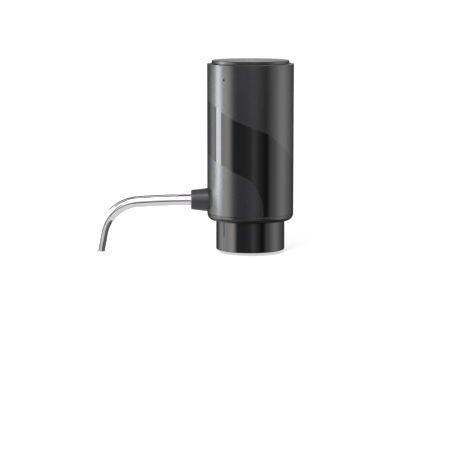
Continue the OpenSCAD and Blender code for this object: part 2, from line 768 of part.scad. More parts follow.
module wine_manifold() {
    ring_groove_w = spout_ring_section * 1.2;
    chamfer = 1;
    socket_end = boot_plug_x - 2 * fit_gap;
    color([0.86, 0.86, 0.84]) difference() {
        union() {
            translate([0, 0, z_spigot]) tube(spigot_r, cavity_r, pocket_depth);
            translate([0, 0, z_nipple_root]) cylinder(r = spigot_r, h = z_floor - z_nipple_root);
            translate([0, 0, z_nipple])
                cylinder(r1 = nipple_r - nipple_lead, r2 = nipple_r, h = nipple_lead);
            translate([0, 0, z_nipple + nipple_lead])
                cylinder(r = nipple_r, h = nipple_len - nipple_lead + eps);
            translate([0, 0, z_floor]) cylinder(d = flange_d, h = flange_t);
            translate([0, 0, z_floor]) cylinder(d = riser_d, h = z_manifold_top - chamfer - z_floor);
            translate([0, 0, z_manifold_top - chamfer])
                cylinder(d1 = riser_d, d2 = riser_d - 2 * chamfer, h = chamfer);
            along_spout(0) cylinder(d = socket_d, h = socket_end);
            translate([0, 0, z_air_port]) rotate([0, 90, 0]) cylinder(r = air_nipple_r, h = port_tip_x);
        }
        translate([0, 0, z_nipple - eps]) cylinder(d = nipple_bore_d, h = z_spout - z_nipple);
        along_spout(0) cylinder(d = flow_d, h = shoulder_x + eps);
        along_spout(shoulder_x) cylinder(r = socket_bore_r, h = sleeve_ir);
        for (x = spout_ring_places) along_spout(x - ring_groove_w / 2)
            cylinder(r = socket_bore_r + spout_ring_section, h = ring_groove_w);
        // Air goes down into the pocket, and a bleed mixes some of it into the rising liquid
        translate([air_passage_x, 0, z_nipple_root - eps])
            cylinder(d = air_bore_d, h = z_air_port - z_nipple_root);
        translate([air_passage_x - air_bore_d / 2, 0, z_air_port]) rotate([0, 90, 0])
            cylinder(d = air_bore_d, h = port_tip_x);
        translate([0, 0, z_air_port]) rotate([0, 90, 0]) cylinder(d = bleed_d, h = air_passage_x);
        translate([0, 0, z_spigot_ring - spigot_groove_w / 2])
            tube(spigot_r + 1, spigot_r + fit_gap - spigot_ring_section, spigot_groove_w);
        at_collar_screws() translate([0, 0, z_floor - eps]) cylinder(d = thread_hole_d, h = flange_t + 1);
    }
}

module manifold_o_ring() {
    color([0.1, 0.1, 0.1]) translate([0, 0, z_spigot_ring])
        torus(spigot_r + fit_gap - spigot_ring_section / 2, spigot_ring_section / 2);
}

module venturi_insert() {
    outer_r = (flow_d - fit_gap) / 2;
    mouth_r = outer_r - 0.4;
    throat_r = throat_d / 2;
    color([0.80, 0.68, 0.38]) along_spout(shoulder_x - venturi_len - 2 * fit_gap)
        rotate_extrude() polygon([
            [mouth_r, 0], [outer_r, 0], [outer_r, venturi_len], [mouth_r, venturi_len],
            [throat_r, venturi_len * 0.55], [throat_r, venturi_len * 0.4]]);
}

module spout_boot() {
    base_r = boot_base_d / 2;
    end_r = boot_end_d / 2;
    end_x = body_r + boot_len;
    edge = boot_edge_r;
    taper_x = body_r - 0.4;
    color([0.27, 0.27, 0.28]) difference() {
        union() {
            along_spout(0) rotate_extrude() polygon(concat(
                [[0, boot_plug_x], [base_r, boot_plug_x], [base_r, taper_x]],
                [for (a = edge_angles) [end_r - edge + edge * cos(a), end_x - edge + edge * sin(a)]],
                [[0, end_x]]));
            intersection() {
                along_spout(boot_plug_x) cylinder(d = boot_flange_d, h = boot_depth + 1);
                cylinder(r = inner_r, h = z_rim);
            }
        }
        along_spout(0) cylinder(r = socket_bore_r, h = end_x + 1);
    }
}

module spout_o_rings() {
    color([0.1, 0.1, 0.1]) for (x = spout_ring_places) along_spout(x)
        torus(socket_bore_r + spout_ring_section / 2, spout_ring_section / 2);
}

// Straight run, long gentle arc, bend and tip of one tube. The arc and the tip are thinner by
// lap_step on both faces, and each goes into its neighbour's wall by lap, so that they join.
module spout_tube() {
    bore_r = tube_r - tube_wall;
    start_x = shoulder_x + 2 * fit_gap;
    lap_angle = lap / sag_r * 180 / PI;
    color([0.80, 0.80, 0.82]) {
        along_spout(start_x) tube(tube_r, bore_r, -run_x - start_x);
        translate([sag_c[0], 0, sag_c[1]]) rotate([90, 0, 0]) rotate([0, 0, 90 - lap_angle])
            rotate_extrude(angle = sag_angle + 2 * lap_angle)
                translate([sag_r, 0]) ring(tube_r - lap_step, bore_r + lap_step);
        translate([bend_c[0], 0, bend_c[1]]) rotate([90, 0, 0]) rotate([0, 0, 90 + sag_angle])
            rotate_extrude(angle = bend_angle) translate([bend_r, 0]) ring(tube_r, bore_r);
        translate([tip_start[0], 0, tip_start[1]]) rotate([0, -90 - tip_angle, 0])
            translate([0, 0, -lap]) tube(tube_r - lap_step, bore_r + lap_step, tip_len + lap);
    }
}

module top_button() {
    edge = button_edge_r;
    skirt_ir = button_r - button_skirt_t;
    fillet = 0.6;
    lead_in = 0.7;
    leg_out = leg_in + leg_t;
    color([0.55, 0.55, 0.56]) {
        rotate_extrude() polygon(concat(
            [[0, z_cap], [skirt_ir - fillet, z_cap], [skirt_ir, z_cap - fillet], [skirt_ir, z_skirt],
             [button_r, z_skirt]],
            [for (a = edge_angles) [button_r - edge + edge * cos(a), z_top - edge + edge * sin(a)]],
            [[0, z_top]]));
        translate([0, 0, z_plunger + run_gap]) cylinder(d = post_d, h = z_cap - z_plunger);
        for (a = hook_angles) rotate([90, 0, a]) linear_extrude(leg_w, center = true) polygon([
            [leg_in, z_cap + eps], [leg_in, z_hook_top - hook_h], [leg_out, z_hook_top - hook_h],
            [leg_out + hook_reach, z_hook_top - hook_h + lead_in], [leg_out + hook_reach, z_hook_top],
            [leg_out, z_hook_top], [leg_out, z_cap + eps]]);
    }
}

module button_spring() {
    wire_r = spring_wire_d / 2;
    steps = 16 * spring_turns;
    bottom = z_deck_top + wire_r + run_gap;
    rise = z_cap - z_deck_top - 2 * (wire_r + run_gap);
    coiled = spring_turns - 2 * spring_flat;
    color([0.75, 0.75, 0.77]) wire([for (i = [0:steps])
        let (turn = spring_turns * i / steps, up = min(max(turn - spring_flat, 0) / coiled, 1))
        [spring_d / 2 * cos(360 * turn), spring_d / 2 * sin(360 * turn), bottom + rise * up]], wire_r);
}

module top_deck() {
    slot_w = leg_w + 2 * move_gap;
    slot_len = leg_t + hook_reach + 2 * move_gap;
    color([0.16, 0.16, 0.17]) difference() {
        union() {
            translate([0, 0, z_deck]) cylinder(r = inner_r, h = deck_t);
            at_bosses() translate([0, 0, z_board_top]) cylinder(d = boss_d, h = z_deck - z_board_top + eps);
        }
        translate([0, 0, z_deck - eps]) cylinder(d = switch_w * 1.5, h = deck_t + 1);
        // The slots leave the snap legs room to bend inwards
        for (a = hook_angles) rotate([0, 0, a])
            translate([leg_in - hook_reach - move_gap, -slot_w / 2, z_deck - eps])
                cube([slot_len, slot_w, deck_t + 1]);
        at_bosses() translate([0, 0, z_board_top - eps])
            cylinder(d = thread_hole_d, h = z_deck - z_board_top + 2 * hole_relief);
        at_columns() {
            translate([0, 0, z_deck - eps]) cylinder(d = screw_hole_d, h = deck_t + 1);
            translate([0, 0, z_deck_top - deck_screw_sink]) cylinder(d = head_recess_d, h = deck_t);
        }
    }
}

module switch_board() {
    color([0.10, 0.30, 0.18]) difference() {
        translate([0, 0, z_board]) cylinder(d = switch_board_d, h = board_t);
        at_bosses() translate([0, 0, z_board - eps]) cylinder(d = screw_hole_d, h = board_t + 1);
    }
}

module push_switch() {
    color([0.12, 0.12, 0.12]) difference() {
        translate([-switch_w / 2, -switch_w / 2, z_board_top]) cube([switch_w, switch_w, switch_h]);
        translate([0, 0, z_switch_floor]) cylinder(r = plunger_d / 2 + run_gap, h = switch_h);
    }
}

module switch_plunger() {
    bottom = z_switch_floor + button_travel + fit_gap;
    chamfer = 0.4;
    color([0.85, 0.30, 0.20]) {
        translate([0, 0, bottom]) cylinder(d = plunger_d, h = z_plunger - chamfer - bottom);
        translate([0, 0, z_plunger - chamfer])
            cylinder(d1 = plunger_d, d2 = plunger_d - 2 * chamfer, h = chamfer);
    }
}

module status_led() {
    led_r = led_d / 2;
    color([0.75, 0.85, 0.95]) {
        along_light(led_place_r) cylinder(r = led_r, h = led_len - led_r);
        along_light(led_place_r + led_len - led_r) sphere(r = led_r);
    }
}

module light_pipe() {
    start = led_place_r + led_len + 3 * fit_gap;
    flange_w = 1.4;
    color([0.2, 0.2, 0.22]) {
        along_light(start) cylinder(r = light_hole_d / 2 - run_gap, h = body_r - move_gap - start);
        along_light(sleeve_ir - flange_w - 2 * fit_gap) cylinder(d = pipe_flange_d, h = flange_w);
    }
}

module main_board() {
    color([0.10, 0.30, 0.18]) translate([-main_board_w / 2, main_board_y, z_bench])
        cube([main_board_w, board_t, main_board_h]);
}

module board_components() {
    outer_y = main_board_y + board_t;
    // Chips on the outer face: place in shares of the board, and size in shares of the controller
    chips = [[-0.25, 0.56, [1, 1, 1]], [0.12, 0.6, [0.8, 0.9, 0.6]], [-0.04, 0.77, [1.2, 2, 0.8]],
        [0.25, 0.4, [0.4, 0.64, 0.24]], [-0.29, 0.37, [0.4, 0.64, 0.24]]];
    socket_place = [-0.39, 0.7];
    capacitor_place = [-0.29, 0.33];
    color([0.15, 0.15, 0.16]) {
        for (c = chips) let (w = chip_w * c[2][0], t = chip_t * c[2][1], h = chip_w * c[2][2])
            translate([main_board_w * c[0] - w / 2, outer_y, z_bench + main_board_h * c[1] - h / 2])
                cube([w, t, h]);
        // Socket for the battery's leads, and a capacitor, on the inner face
        translate([main_board_w * socket_place[0], main_board_y - lead_socket_depth,
                z_bench + main_board_h * socket_place[1]])
            cube([lead_socket_w, lead_socket_depth, lead_socket_h]);
        translate([main_board_w * capacitor_place[0], main_board_y,
                z_bench + main_board_h * capacitor_place[1]])
            rotate([90, 0, 0]) cylinder(d = capacitor_d, h = capacitor_len);
    }
}

module usb_receptacle() {
    back_y = main_board_y + board_t;
    length = body_r - port_recess - back_y;
    back_wall = 1.2;
    tongue = [port_w * 0.75, length - back_wall - 0.6, 0.7];
    color([0.78, 0.78, 0.80]) translate([0, back_y, z_port]) {
        difference() {
            round_bar(port_w, port_h, length);
            translate([0, back_wall, 0]) round_bar(port_w - 2 * port_wall, port_h - 2 * port_wall, length);
        }
        translate([-tongue[0] / 2, back_wall - eps, -tongue[2] / 2]) cube(tongue);
    }
}

module battery_cell() {
    edge = 0.4;
    shoulder = 0.5;
    cap_h = 0.9;
    color([0.20, 0.42, 0.62]) translate([cell_x, 0, z_cell]) {
        cylinder(r1 = cell_r - edge, r2 = cell_r, h = edge);
        translate([0, 0, edge]) cylinder(r = cell_r, h = cell_len - edge - shoulder - cap_h);
        translate([0, 0, cell_len - shoulder - cap_h])
            cylinder(r1 = cell_r, r2 = cell_r - shoulder, h = shoulder);
        translate([0, 0, cell_len - cap_h]) cylinder(d = cell_d * 0.4, h = cap_h);
    }
}

module battery_tabs() {
    color([0.80, 0.79, 0.72]) for (z = [z_cell - tab_t - fit_gap, z_tab])
        translate([cell_x - tab_w / 2, -tab_w / 2, z]) cube([tab_w, tab_w, tab_t]);
}

module chassis() {
    ring_ir = motor_r + band_t + fit_gap;
    clip_ir = cell_r + fit_gap;
    cell_cup_h = 4;
    bridge_w = 6;
    bridge_x = cell_x + cell_r;
    hole_len = lower_deck_t + 2;
    // Each web: the column that it starts from, and the axis and bore of the ring that it meets
    webs = [[column_places[0], pump_x, ring_ir], [column_places[1], pump_x, ring_ir],
        [column_places[2], cell_x, clip_ir]];
    color([0.22, 0.22, 0.23]) difference() {
        union() {
            translate([0, 0, z_lower_deck]) cylinder(r = inner_r - 3 * fit_gap, h = lower_deck_t);
            at_feet() translate([0, 0, z_floor]) cylinder(d = foot_d, h = z_lower_deck - z_floor + eps);
            at_columns() translate([0, 0, z_bench - eps]) cylinder(r = column_r, h = z_deck - z_bench + eps);
            translate([cell_x, 0, z_bench - eps]) cylinder(r = clip_ir + yoke_wall, h = cell_cup_h);
            translate([pump_x, 0, z_yoke]) cylinder(r = ring_ir + yoke_wall, h = yoke_h);
            translate([cell_x, 0, z_yoke]) cylinder(r = clip_ir + yoke_wall, h = yoke_h);
            translate([bridge_x, -bridge_w / 2, z_yoke])
                cube([pump_x - motor_r - bridge_x, bridge_w, yoke_h]);
            for (w = webs) let (v = [w[1], 0] - w[0])
                translate([w[0][0], w[0][1], z_yoke]) rotate([0, 0, atan2(v[1], v[0])])
                    translate([0, -web_t / 2, 0]) cube([norm(v) - w[2] - yoke_wall / 3, web_t, yoke_h]);
        }
        translate([pump_x, 0, z_yoke - eps]) cylinder(r = ring_ir, h = yoke_h + 1);
        translate([cell_x, 0, z_bench]) cylinder(r = clip_ir, h = z_deck - z_bench);
        translate([outlet_x, 0, z_lower_deck - 1]) cylinder(r = air_nipple_r + hose_tip_gap, h = hole_len);
        along_spout(boot_plug_x - move_gap) cylinder(d = boot_flange_d + 2 * move_gap, h = cut_len);
        at_feet() translate([0, 0, z_floor - eps])
            cylinder(d = thread_hole_d, h = foot_screw_depth + hole_relief);
        at_columns() translate([0, 0, z_deck - column_screw_depth - hole_relief])
            cylinder(d = thread_hole_d, h = column_screw_depth + hole_relief + eps);
        // The main board stands between the rear columns, in a groove in each
        translate([-main_board_w / 2 - fit_gap, main_board_y - fit_gap, z_bench])
            cube([main_board_w + 2 * fit_gap, board_t + 2 * fit_gap, main_board_h + fit_gap]);
    }
}

module motor_can() {
    color([0.72, 0.72, 0.74]) at_pump(z_motor) difference() {
        union() {
            cylinder(r = motor_r, h = motor_len - end_cap_t);
            translate([0, 0, -frame_plate_t]) cylinder(d = motor_boss_d, h = frame_plate_t + eps);
        }
        translate([0, 0, can_wall]) cylinder(r = motor_r - can_wall, h = motor_len);
        translate([0, 0, -frame_plate_t - eps])
            cylinder(r = bush_r + fit_gap, h = frame_plate_t + can_wall + 1);
        for (s = [-1, 1]) translate([0, s * motor_screw_place_r, -eps])
            cylinder(d = pump_thread_hole_d, h = can_wall + 1);
    }
}

module motor_magnets() {
    outer = motor_r - can_wall - fit_gap;
    overhang = 2;
    arc = 120;
    color([0.30, 0.30, 0.31]) at_pump(z_core - overhang) for (a = [90, 270])
        rotate([0, 0, a - arc / 2]) rotate_extrude(angle = arc)
            translate([outer - magnet_t, 0]) square([magnet_t, core_len + 2 * overhang]);
}

module motor_end_cap() {
    plug_h = 1.6;
    slot = [0.6, 2.4, 4];
    color([0.88, 0.86, 0.80]) at_pump(z_motor_top) difference() {
        union() {
            translate([0, 0, -end_cap_t - plug_h])
                cylinder(r = motor_r - can_wall - fit_gap, h = plug_h + eps);
            translate([0, 0, -end_cap_t]) cylinder(r = motor_r, h = end_cap_t);
            translate([0, 0, -end_cap_t]) cylinder(d = motor_boss_d, h = end_cap_t + 1);
        }
        translate([0, 0, -4]) cylinder(r = bush_r + fit_gap, h = 4);
        for (s = [-1, 1]) translate([s * terminal_x - slot[0] / 2, -slot[1] / 2, -end_cap_t - plug_h - eps])
            cube(slot);
    }
}

// Two sprung leaves that hang from the end cap, each with its terminal tab
module motor_brushes() {
    leaf_x = commutator_d / 2 + move_gap;
    leaf_w = 2.2;
    leaf_t = 0.3;
    arm_z = -2.9;
    tab_x = terminal_x - terminal_t / 2;
    color([0.82, 0.62, 0.35]) at_pump(z_motor_top) for (a = [0, 180])
        rotate([0, 0, a]) translate([0, -leaf_w / 2, 0]) {
            translate([leaf_x, 0, arm_z - commutator_len + leaf_t]) cube([leaf_t, leaf_w, commutator_len]);
            translate([leaf_x, 0, arm_z]) cube([tab_x + terminal_t - leaf_x, leaf_w, 0.25]);
            translate([tab_x, 0, arm_z]) cube([terminal_t, leaf_w, terminal_rise - arm_z]);
        }
}

module motor_bushes() {
    lower_len = 3;
    upper_len = 2.2;
    color([0.62, 0.50, 0.32]) {
        at_pump(z_motor - frame_plate_t) tube(bush_r, shaft_d / 2 + run_gap, lower_len);
        at_pump(z_motor_top - upper_len - 2 * fit_gap) tube(bush_r, shaft_d / 2 + run_gap, upper_len);
    }
}

module motor_shaft() {
    foot = z_eccentric + shaft_stop;
    color([0.75, 0.75, 0.77]) at_pump(foot) cylinder(d = shaft_d, h = z_motor_top - 0.5 - foot);
}

module armature_core() {
    hub_r = 3;
    far = 2 * core_r;
    color([0.45, 0.45, 0.47]) at_pump(z_core) linear_extrude(core_len) difference() {
        union() {
            circle(r = hub_r);
            for (a = pole_angles) rotate(a) {
                translate([0, -core_arm_w / 2]) square([core_r - pole_t / 2, core_arm_w]);
                intersection() {
                    ring(core_r, core_r - pole_t);
                    polygon([[0, 0], far * [cos(pole_half_angle), -sin(pole_half_angle)],
                        far * [cos(pole_half_angle), sin(pole_half_angle)]]);
                }
            }
        }
        circle(r = shaft_d / 2);
    }
}

module armature_windings() {
    inner = 3.6;
    half_w = 2.6;
    overhang = 1.4;
    outer = sqrt(pow(core_r - pole_t, 2) - pow(half_w, 2)) - fit_gap;
    core_gap_w = core_arm_w + 2 * fit_gap;
    color([0.72, 0.38, 0.20]) at_pump(z_core) for (a = pole_angles) rotate([0, 0, a]) difference() {
        translate([inner, -half_w, -overhang]) cube([outer - inner, 2 * half_w, core_len + 2 * overhang]);
        translate([inner - 1, -core_gap_w / 2, -fit_gap]) cube([outer, core_gap_w, core_len + 2 * fit_gap]);
    }
}

module commutator() {
    gap_w = 0.4;
    gap_depth = 0.7;
    color([0.78, 0.52, 0.30]) at_pump(z_motor_top - 3 - commutator_len) difference() {
        tube(commutator_d / 2, shaft_d / 2, commutator_len);
        for (a = pole_angles) rotate([0, 0, a])
            translate([commutator_d / 2 - gap_depth, -gap_w / 2, -eps]) cube([2, gap_w, commutator_len + 1]);
    }
}

module motor_band() {
    bore_r = motor_r + fit_gap / 2;
    color([0.12, 0.12, 0.12]) at_pump(z_yoke) tube(bore_r + band_t, bore_r, yoke_h);
}

module pump_eccentric() {
    pin_len = 3.4;
    color([0.90, 0.89, 0.85]) at_pump(z_eccentric) {
        difference() {
            cylinder(d = eccentric_d, h = eccentric_h);
            translate([0, 0, shaft_stop]) cylinder(d = shaft_d, h = eccentric_h);
        }
        translate([drive_pin_offset, 0, eps]) rotate([0, 180 + drive_pin_tilt, 0])
            cylinder(d = drive_pin_d, h = pin_len);
    }
}

module pump_frame() {
    inner = pump_r - frame_wall;
    window_w = 6;
    window_h = 3;
    window_rise = 4;
    color([0.80, 0.80, 0.78]) at_pump(z_frame) difference() {
        cylinder(r = pump_r, h = frame_h);
        translate([0, 0, -eps]) cylinder(r = inner, h = frame_h - frame_plate_t + eps);
        cylinder(d = motor_boss_d + 2 * fit_gap, h = frame_h + 1);
        for (s = [-1, 1]) translate([0, s * motor_screw_place_r, 0])
            cylinder(d = pump_hole_d, h = frame_h + 1);
        // Air gets in through two windows
        for (a = [90, 270]) rotate([0, 0, a])
            translate([inner - 2, -window_w / 2, window_rise]) cube([frame_wall + 4, window_w, window_h]);
        at_pump_screws() translate([0, 0, -eps])
            cylinder(d = pump_thread_hole_d, h = pump_screw_depth + hole_relief);
    }
}

// Three arms that pull the cups in turn. The hub's bore leaves room for the drive pin's circle.
module wobble_plate() {
    arm_w = 3.4;
    pad_r = 1.9;
    stem_hole_r = 1;
    color([0.92, 0.92, 0.90]) at_pump(z_wobble) difference() {
        union() {
            cylinder(r = hub_bore_r + 1.2, h = arm_t + 1);
            for (a = cup_angles) rotate([0, 0, a]) translate([0, -arm_w / 2, 0])
                cube([cup_place_r, arm_w, arm_t]);
            at_cups() cylinder(r = pad_r, h = arm_t);
        }
        translate([0, 0, -1]) cylinder(r = hub_bore_r, h = arm_t + 3);
        at_cups() translate([0, 0, -1]) cylinder(r = stem_hole_r, h = arm_t + 2);
    }
}

module cup_carrier() {
    color([0.80, 0.80, 0.78]) at_pump(z_carrier) difference() {
        cylinder(r = pump_r, h = carrier_h);
        at_cups() translate([0, 0, -eps]) cylinder(r = cup_d / 2 + 0.4, h = carrier_h + 1);
        at_pump_screws() translate([0, 0, -eps]) cylinder(d = pump_hole_d, h = carrier_h + 1);
    }
}

// Three cups, open below, whose stems pull through the arms of the wobble plate
module diaphragm() {
    cup_r = cup_d / 2;
    roof_t = 1.4;
    shoulder = 1;
    stem_r = 0.9;
    stem_h = z_wobble + arm_t + fit_gap - z_carrier - cup_h;
    color([0.16, 0.16, 0.17]) at_pump(z_diaphragm) difference() {
        union() {
            cylinder(r = pump_r - fit_gap, h = diaphragm_t);
            at_cups() translate([0, 0, diaphragm_t - eps]) {
                cylinder(r = cup_r, h = cup_h - shoulder);
                translate([0, 0, cup_h - shoulder]) cylinder(r1 = cup_r, r2 = cup_r - 1.2, h = shoulder);
                translate([0, 0, cup_h]) cylinder(r = stem_r, h = stem_h);
                translate([0, 0, cup_h + stem_h]) cylinder(r1 = stem_r + 0.5, r2 = stem_r - 0.2, h = 1.1);
            }
        }
        at_cups() translate([0, 0, -eps]) cylinder(r = cup_r - cup_wall, h = diaphragm_t + cup_h - roof_t);
        at_pump_screws() translate([0, 0, -eps]) cylinder(d = pump_hole_d, h = diaphragm_t + 1);
    }
}

module valve_plate() {
    inlet_place_r = 2.6;
    color([0.84, 0.84, 0.82]) at_pump(z_valve) difference() {
        cylinder(r = pump_r, h = valve_plate_t);
        translate([0, 0, -eps]) cylinder(r = valve_stem_r + fit_gap, h = valve_plate_t + 1);
        for (a = cup_angles) at_angle(a, inlet_place_r) translate([0, 0, -eps])
            cylinder(r = 0.5, h = valve_plate_t + 1);
        at_cups() translate([0, 0, -eps]) cylinder(r = 0.7, h = valve_plate_t + 1);
        at_pump_screws() translate([0, 0, -eps]) cylinder(d = pump_hole_d, h = valve_plate_t + 1);
    }
}

module umbrella_valve() {
    disc_r = 3.4;
    disc_t = 0.35;
    color([0.75, 0.30, 0.25]) at_pump(z_valve - 0.4) {
        translate([0, 0, -0.5]) cylinder(r1 = 1.2, r2 = disc_r, h = 0.5);
        cylinder(r = disc_r, h = disc_t);
        cylinder(r = valve_stem_r, h = valve_plate_t + 0.4);
    }
}

module pump_cover() {
    chamber_depth = 1.8;
    rim_w = 4;
    color([0.84, 0.84, 0.82]) at_pump(z_pump) difference() {
        union() {
            cylinder(r = pump_r, h = cover_h);
            translate([outlet_offset, 0, -outlet_len]) cylinder(r = air_nipple_r, h = outlet_len + eps);
        }
        translate([0, 0, cover_h - chamber_depth]) cylinder(r = pump_r - rim_w, h = cover_h);
        translate([outlet_offset, 0, -outlet_len - 1]) cylinder(d = air_bore_d, h = outlet_len + cover_h);
        at_pump_screws() translate([0, 0, -eps]) {
            cylinder(d = pump_hole_d, h = cover_h + 1);
            cylinder(d = pump_head_d + hole_clear, h = pump_seat + fit_gap);
        }
    }
}

module pump_pad() {
    color([0.12, 0.12, 0.12]) at_pump(z_bench) difference() {
        cylinder(r = pump_r - 0.5, h = pad_t);
        translate([0, 0, -1]) cylinder(r = 4, h = pad_t + 2);
        translate([outlet_offset, 0, -1]) cylinder(r = air_nipple_r + hole_clear, h = pad_t + 2);
    }
}

module pump_screws() {
    seat = z_pump + pump_seat;
    color([0.70, 0.70, 0.72]) at_pump(seat) at_pump_screws()
        screw(pump_screw_d, pump_head_d, pump_head_h, z_frame + pump_screw_depth - seat);
}

module motor_screws() {
    color([0.70, 0.70, 0.72]) at_pump(z_motor - frame_plate_t) for (s = [-1, 1])
        translate([0, s * motor_screw_place_r, 0])
            screw(pump_screw_d, pump_head_d, pump_head_h, frame_plate_t + can_wall);
}

// From the pump's outlet down, round a quarter turn, and onto the manifold's air port
module air_hose() {
    hose_r = hose_d / 2;
    bore_r = air_nipple_r + run_gap;
    elbow_z = z_air_port + hose_bend_r;
    elbow_x = outlet_x - hose_bend_r;
    top_z = min(z_pump - outlet_len + hose_grip, z_lower_deck - fit_gap);
    end_x = max(port_tip_x - hose_grip, riser_d / 2 + fit_gap);
    color([0.82, 0.84, 0.86]) {
        translate([outlet_x, 0, elbow_z]) tube(hose_r, bore_r, top_z - elbow_z);
        translate([elbow_x, 0, elbow_z]) rotate([90, 0, 0]) rotate([0, 0, -90])
            rotate_extrude(angle = 90) translate([hose_bend_r, 0]) ring(hose_r, bore_r);
        translate([end_x, 0, z_air_port]) rotate([0, 90, 0]) tube(hose_r, bore_r, elbow_x - end_x);
    }
}

module collar_screws() {
    seat = z_roof + screw_head_h;
    color([0.70, 0.70, 0.72]) at_collar_screws() translate([0, 0, seat])
        screw(screw_d, screw_head_d, screw_head_h, z_floor + flange_t - 3 * fit_gap - seat);
}

module chassis_screws() {
    seat = z_ring + screw_head_h;
    color([0.70, 0.70, 0.72]) at_feet() translate([0, 0, seat])
        screw(screw_d, screw_head_d, screw_head_h, z_floor + foot_screw_depth - seat);
}

module deck_screws() {
    head_h = deck_screw_sink + button_bottom_gap - move_gap;
    length = deck_t - deck_screw_sink + column_screw_depth;
    color([0.70, 0.70, 0.72]) at_columns() translate([0, 0, z_deck_top - deck_screw_sink])
        mirror([0, 0, 1]) screw(screw_d, screw_head_d, head_h, length);
}

module board_screws() {
    color([0.70, 0.70, 0.72]) at_bosses() translate([0, 0, z_board])
        screw(screw_d, screw_head_d, screw_head_h, z_deck - z_board);
}

// Flat ribbon from the main board's inner face up to the underside of the switch board
module board_ribbon() {
    low_y = main_board_y - fit_gap - ribbon_t;
    high_y = low_y - ribbon_lean;
    foot = z_bench + main_board_h - ribbon_foot;
    bend = z_yoke + yoke_h;
    bend_end = bend + ribbon_lean_h;
    top = z_board - fit_gap;
    color([0.62, 0.62, 0.64]) translate([-ribbon_w, 0, 0]) rotate([90, 0, 90])
        linear_extrude(ribbon_w) polygon([
            [low_y, foot], [low_y + ribbon_t, foot], [low_y + ribbon_t, bend], [high_y + ribbon_t, bend_end],
            [high_y + ribbon_t, top], [high_y, top], [high_y, bend_end], [low_y, bend]]);
}

// Two leads climb from the cell's upper tab to the underside of the switch board
module battery_leads() {
    top = z_board - 2 * fit_gap;
    foot = z_tab + tab_t + 2 * fit_gap;
    lean = lead_boss_x + boss_place_r * cos(boss_angles[1]) - cell_x;
    color([0.75, 0.12, 0.12]) for (s = [-1, 1])
        wire([for (t = [0:0.125:1]) let (w = t * t * (3 - 2 * t))
            [cell_x + lean * w, s * (lead_foot_y + lead_spread * w), foot + (top - foot) * t]], lead_r);
}

module motor_leads() {
    foot = z_motor_top + terminal_rise + fit_gap;
    color([0.12, 0.12, 0.14]) for (s = [-1, 1])
        at_pump(foot) translate([s * terminal_x, 0, 0]) cylinder(r = lead_r, h = z_board - fit_gap - foot);
}

outer_sleeve();
base_ring();
bottle_collar();
neck_seal();
wine_manifold();
manifold_o_ring();
venturi_insert();
spout_boot();
spout_o_rings();
spout_tube();
top_button();
button_spring();
top_deck();
switch_board();
push_switch();
switch_plunger();
status_led();
light_pipe();
main_board();
board_components();
usb_receptacle();
battery_cell();
battery_tabs();
chassis();
motor_can();
motor_magnets();
motor_end_cap();
motor_brushes();
motor_bushes();
motor_shaft();
armature_core();
armature_windings();
commutator();
motor_band();
pump_eccentric();
pump_frame();
wobble_plate();
cup_carrier();
diaphragm();
valve_plate();
umbrella_valve();
pump_cover();
pump_pad();
pump_screws();
motor_screws();
air_hose();
collar_screws();
chassis_screws();
deck_screws();
board_screws();
board_ribbon();
battery_leads();
motor_leads();
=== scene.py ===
"""Looks of the electric wine aerator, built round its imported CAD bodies. Metres, +Z up."""
import json
import math

import bmesh
import bpy
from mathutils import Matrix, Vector
from mathutils.geometry import delaunay_2d_cdt


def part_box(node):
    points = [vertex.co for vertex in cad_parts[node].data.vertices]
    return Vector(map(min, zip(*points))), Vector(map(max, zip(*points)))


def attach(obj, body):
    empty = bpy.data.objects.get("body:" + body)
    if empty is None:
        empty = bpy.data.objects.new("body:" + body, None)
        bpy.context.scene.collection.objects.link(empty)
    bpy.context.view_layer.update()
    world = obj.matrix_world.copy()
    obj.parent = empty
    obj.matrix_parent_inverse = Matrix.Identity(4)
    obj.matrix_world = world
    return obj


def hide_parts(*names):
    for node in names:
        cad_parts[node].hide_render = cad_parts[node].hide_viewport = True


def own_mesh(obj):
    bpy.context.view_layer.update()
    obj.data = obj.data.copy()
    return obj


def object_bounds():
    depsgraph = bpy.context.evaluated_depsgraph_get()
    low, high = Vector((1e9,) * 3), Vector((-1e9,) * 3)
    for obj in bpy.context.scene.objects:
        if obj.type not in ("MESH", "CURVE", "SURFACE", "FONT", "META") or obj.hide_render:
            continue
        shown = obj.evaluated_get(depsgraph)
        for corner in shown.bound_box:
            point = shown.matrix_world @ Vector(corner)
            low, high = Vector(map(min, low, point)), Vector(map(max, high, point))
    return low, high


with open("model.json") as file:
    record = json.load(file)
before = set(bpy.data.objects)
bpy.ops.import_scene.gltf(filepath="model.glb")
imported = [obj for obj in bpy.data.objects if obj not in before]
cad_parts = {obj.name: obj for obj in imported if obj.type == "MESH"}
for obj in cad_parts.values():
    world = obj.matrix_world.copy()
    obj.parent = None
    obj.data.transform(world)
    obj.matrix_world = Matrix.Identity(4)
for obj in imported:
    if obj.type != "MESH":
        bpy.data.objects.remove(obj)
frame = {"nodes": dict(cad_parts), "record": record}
cad_lo, cad_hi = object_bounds()
nodes = frame["nodes"]
MM = 0.001


def span(node):
    """Lowest and highest corner of a CAD node, in millimetres."""
    lo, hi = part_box(node)
    return lo / MM, hi / MM


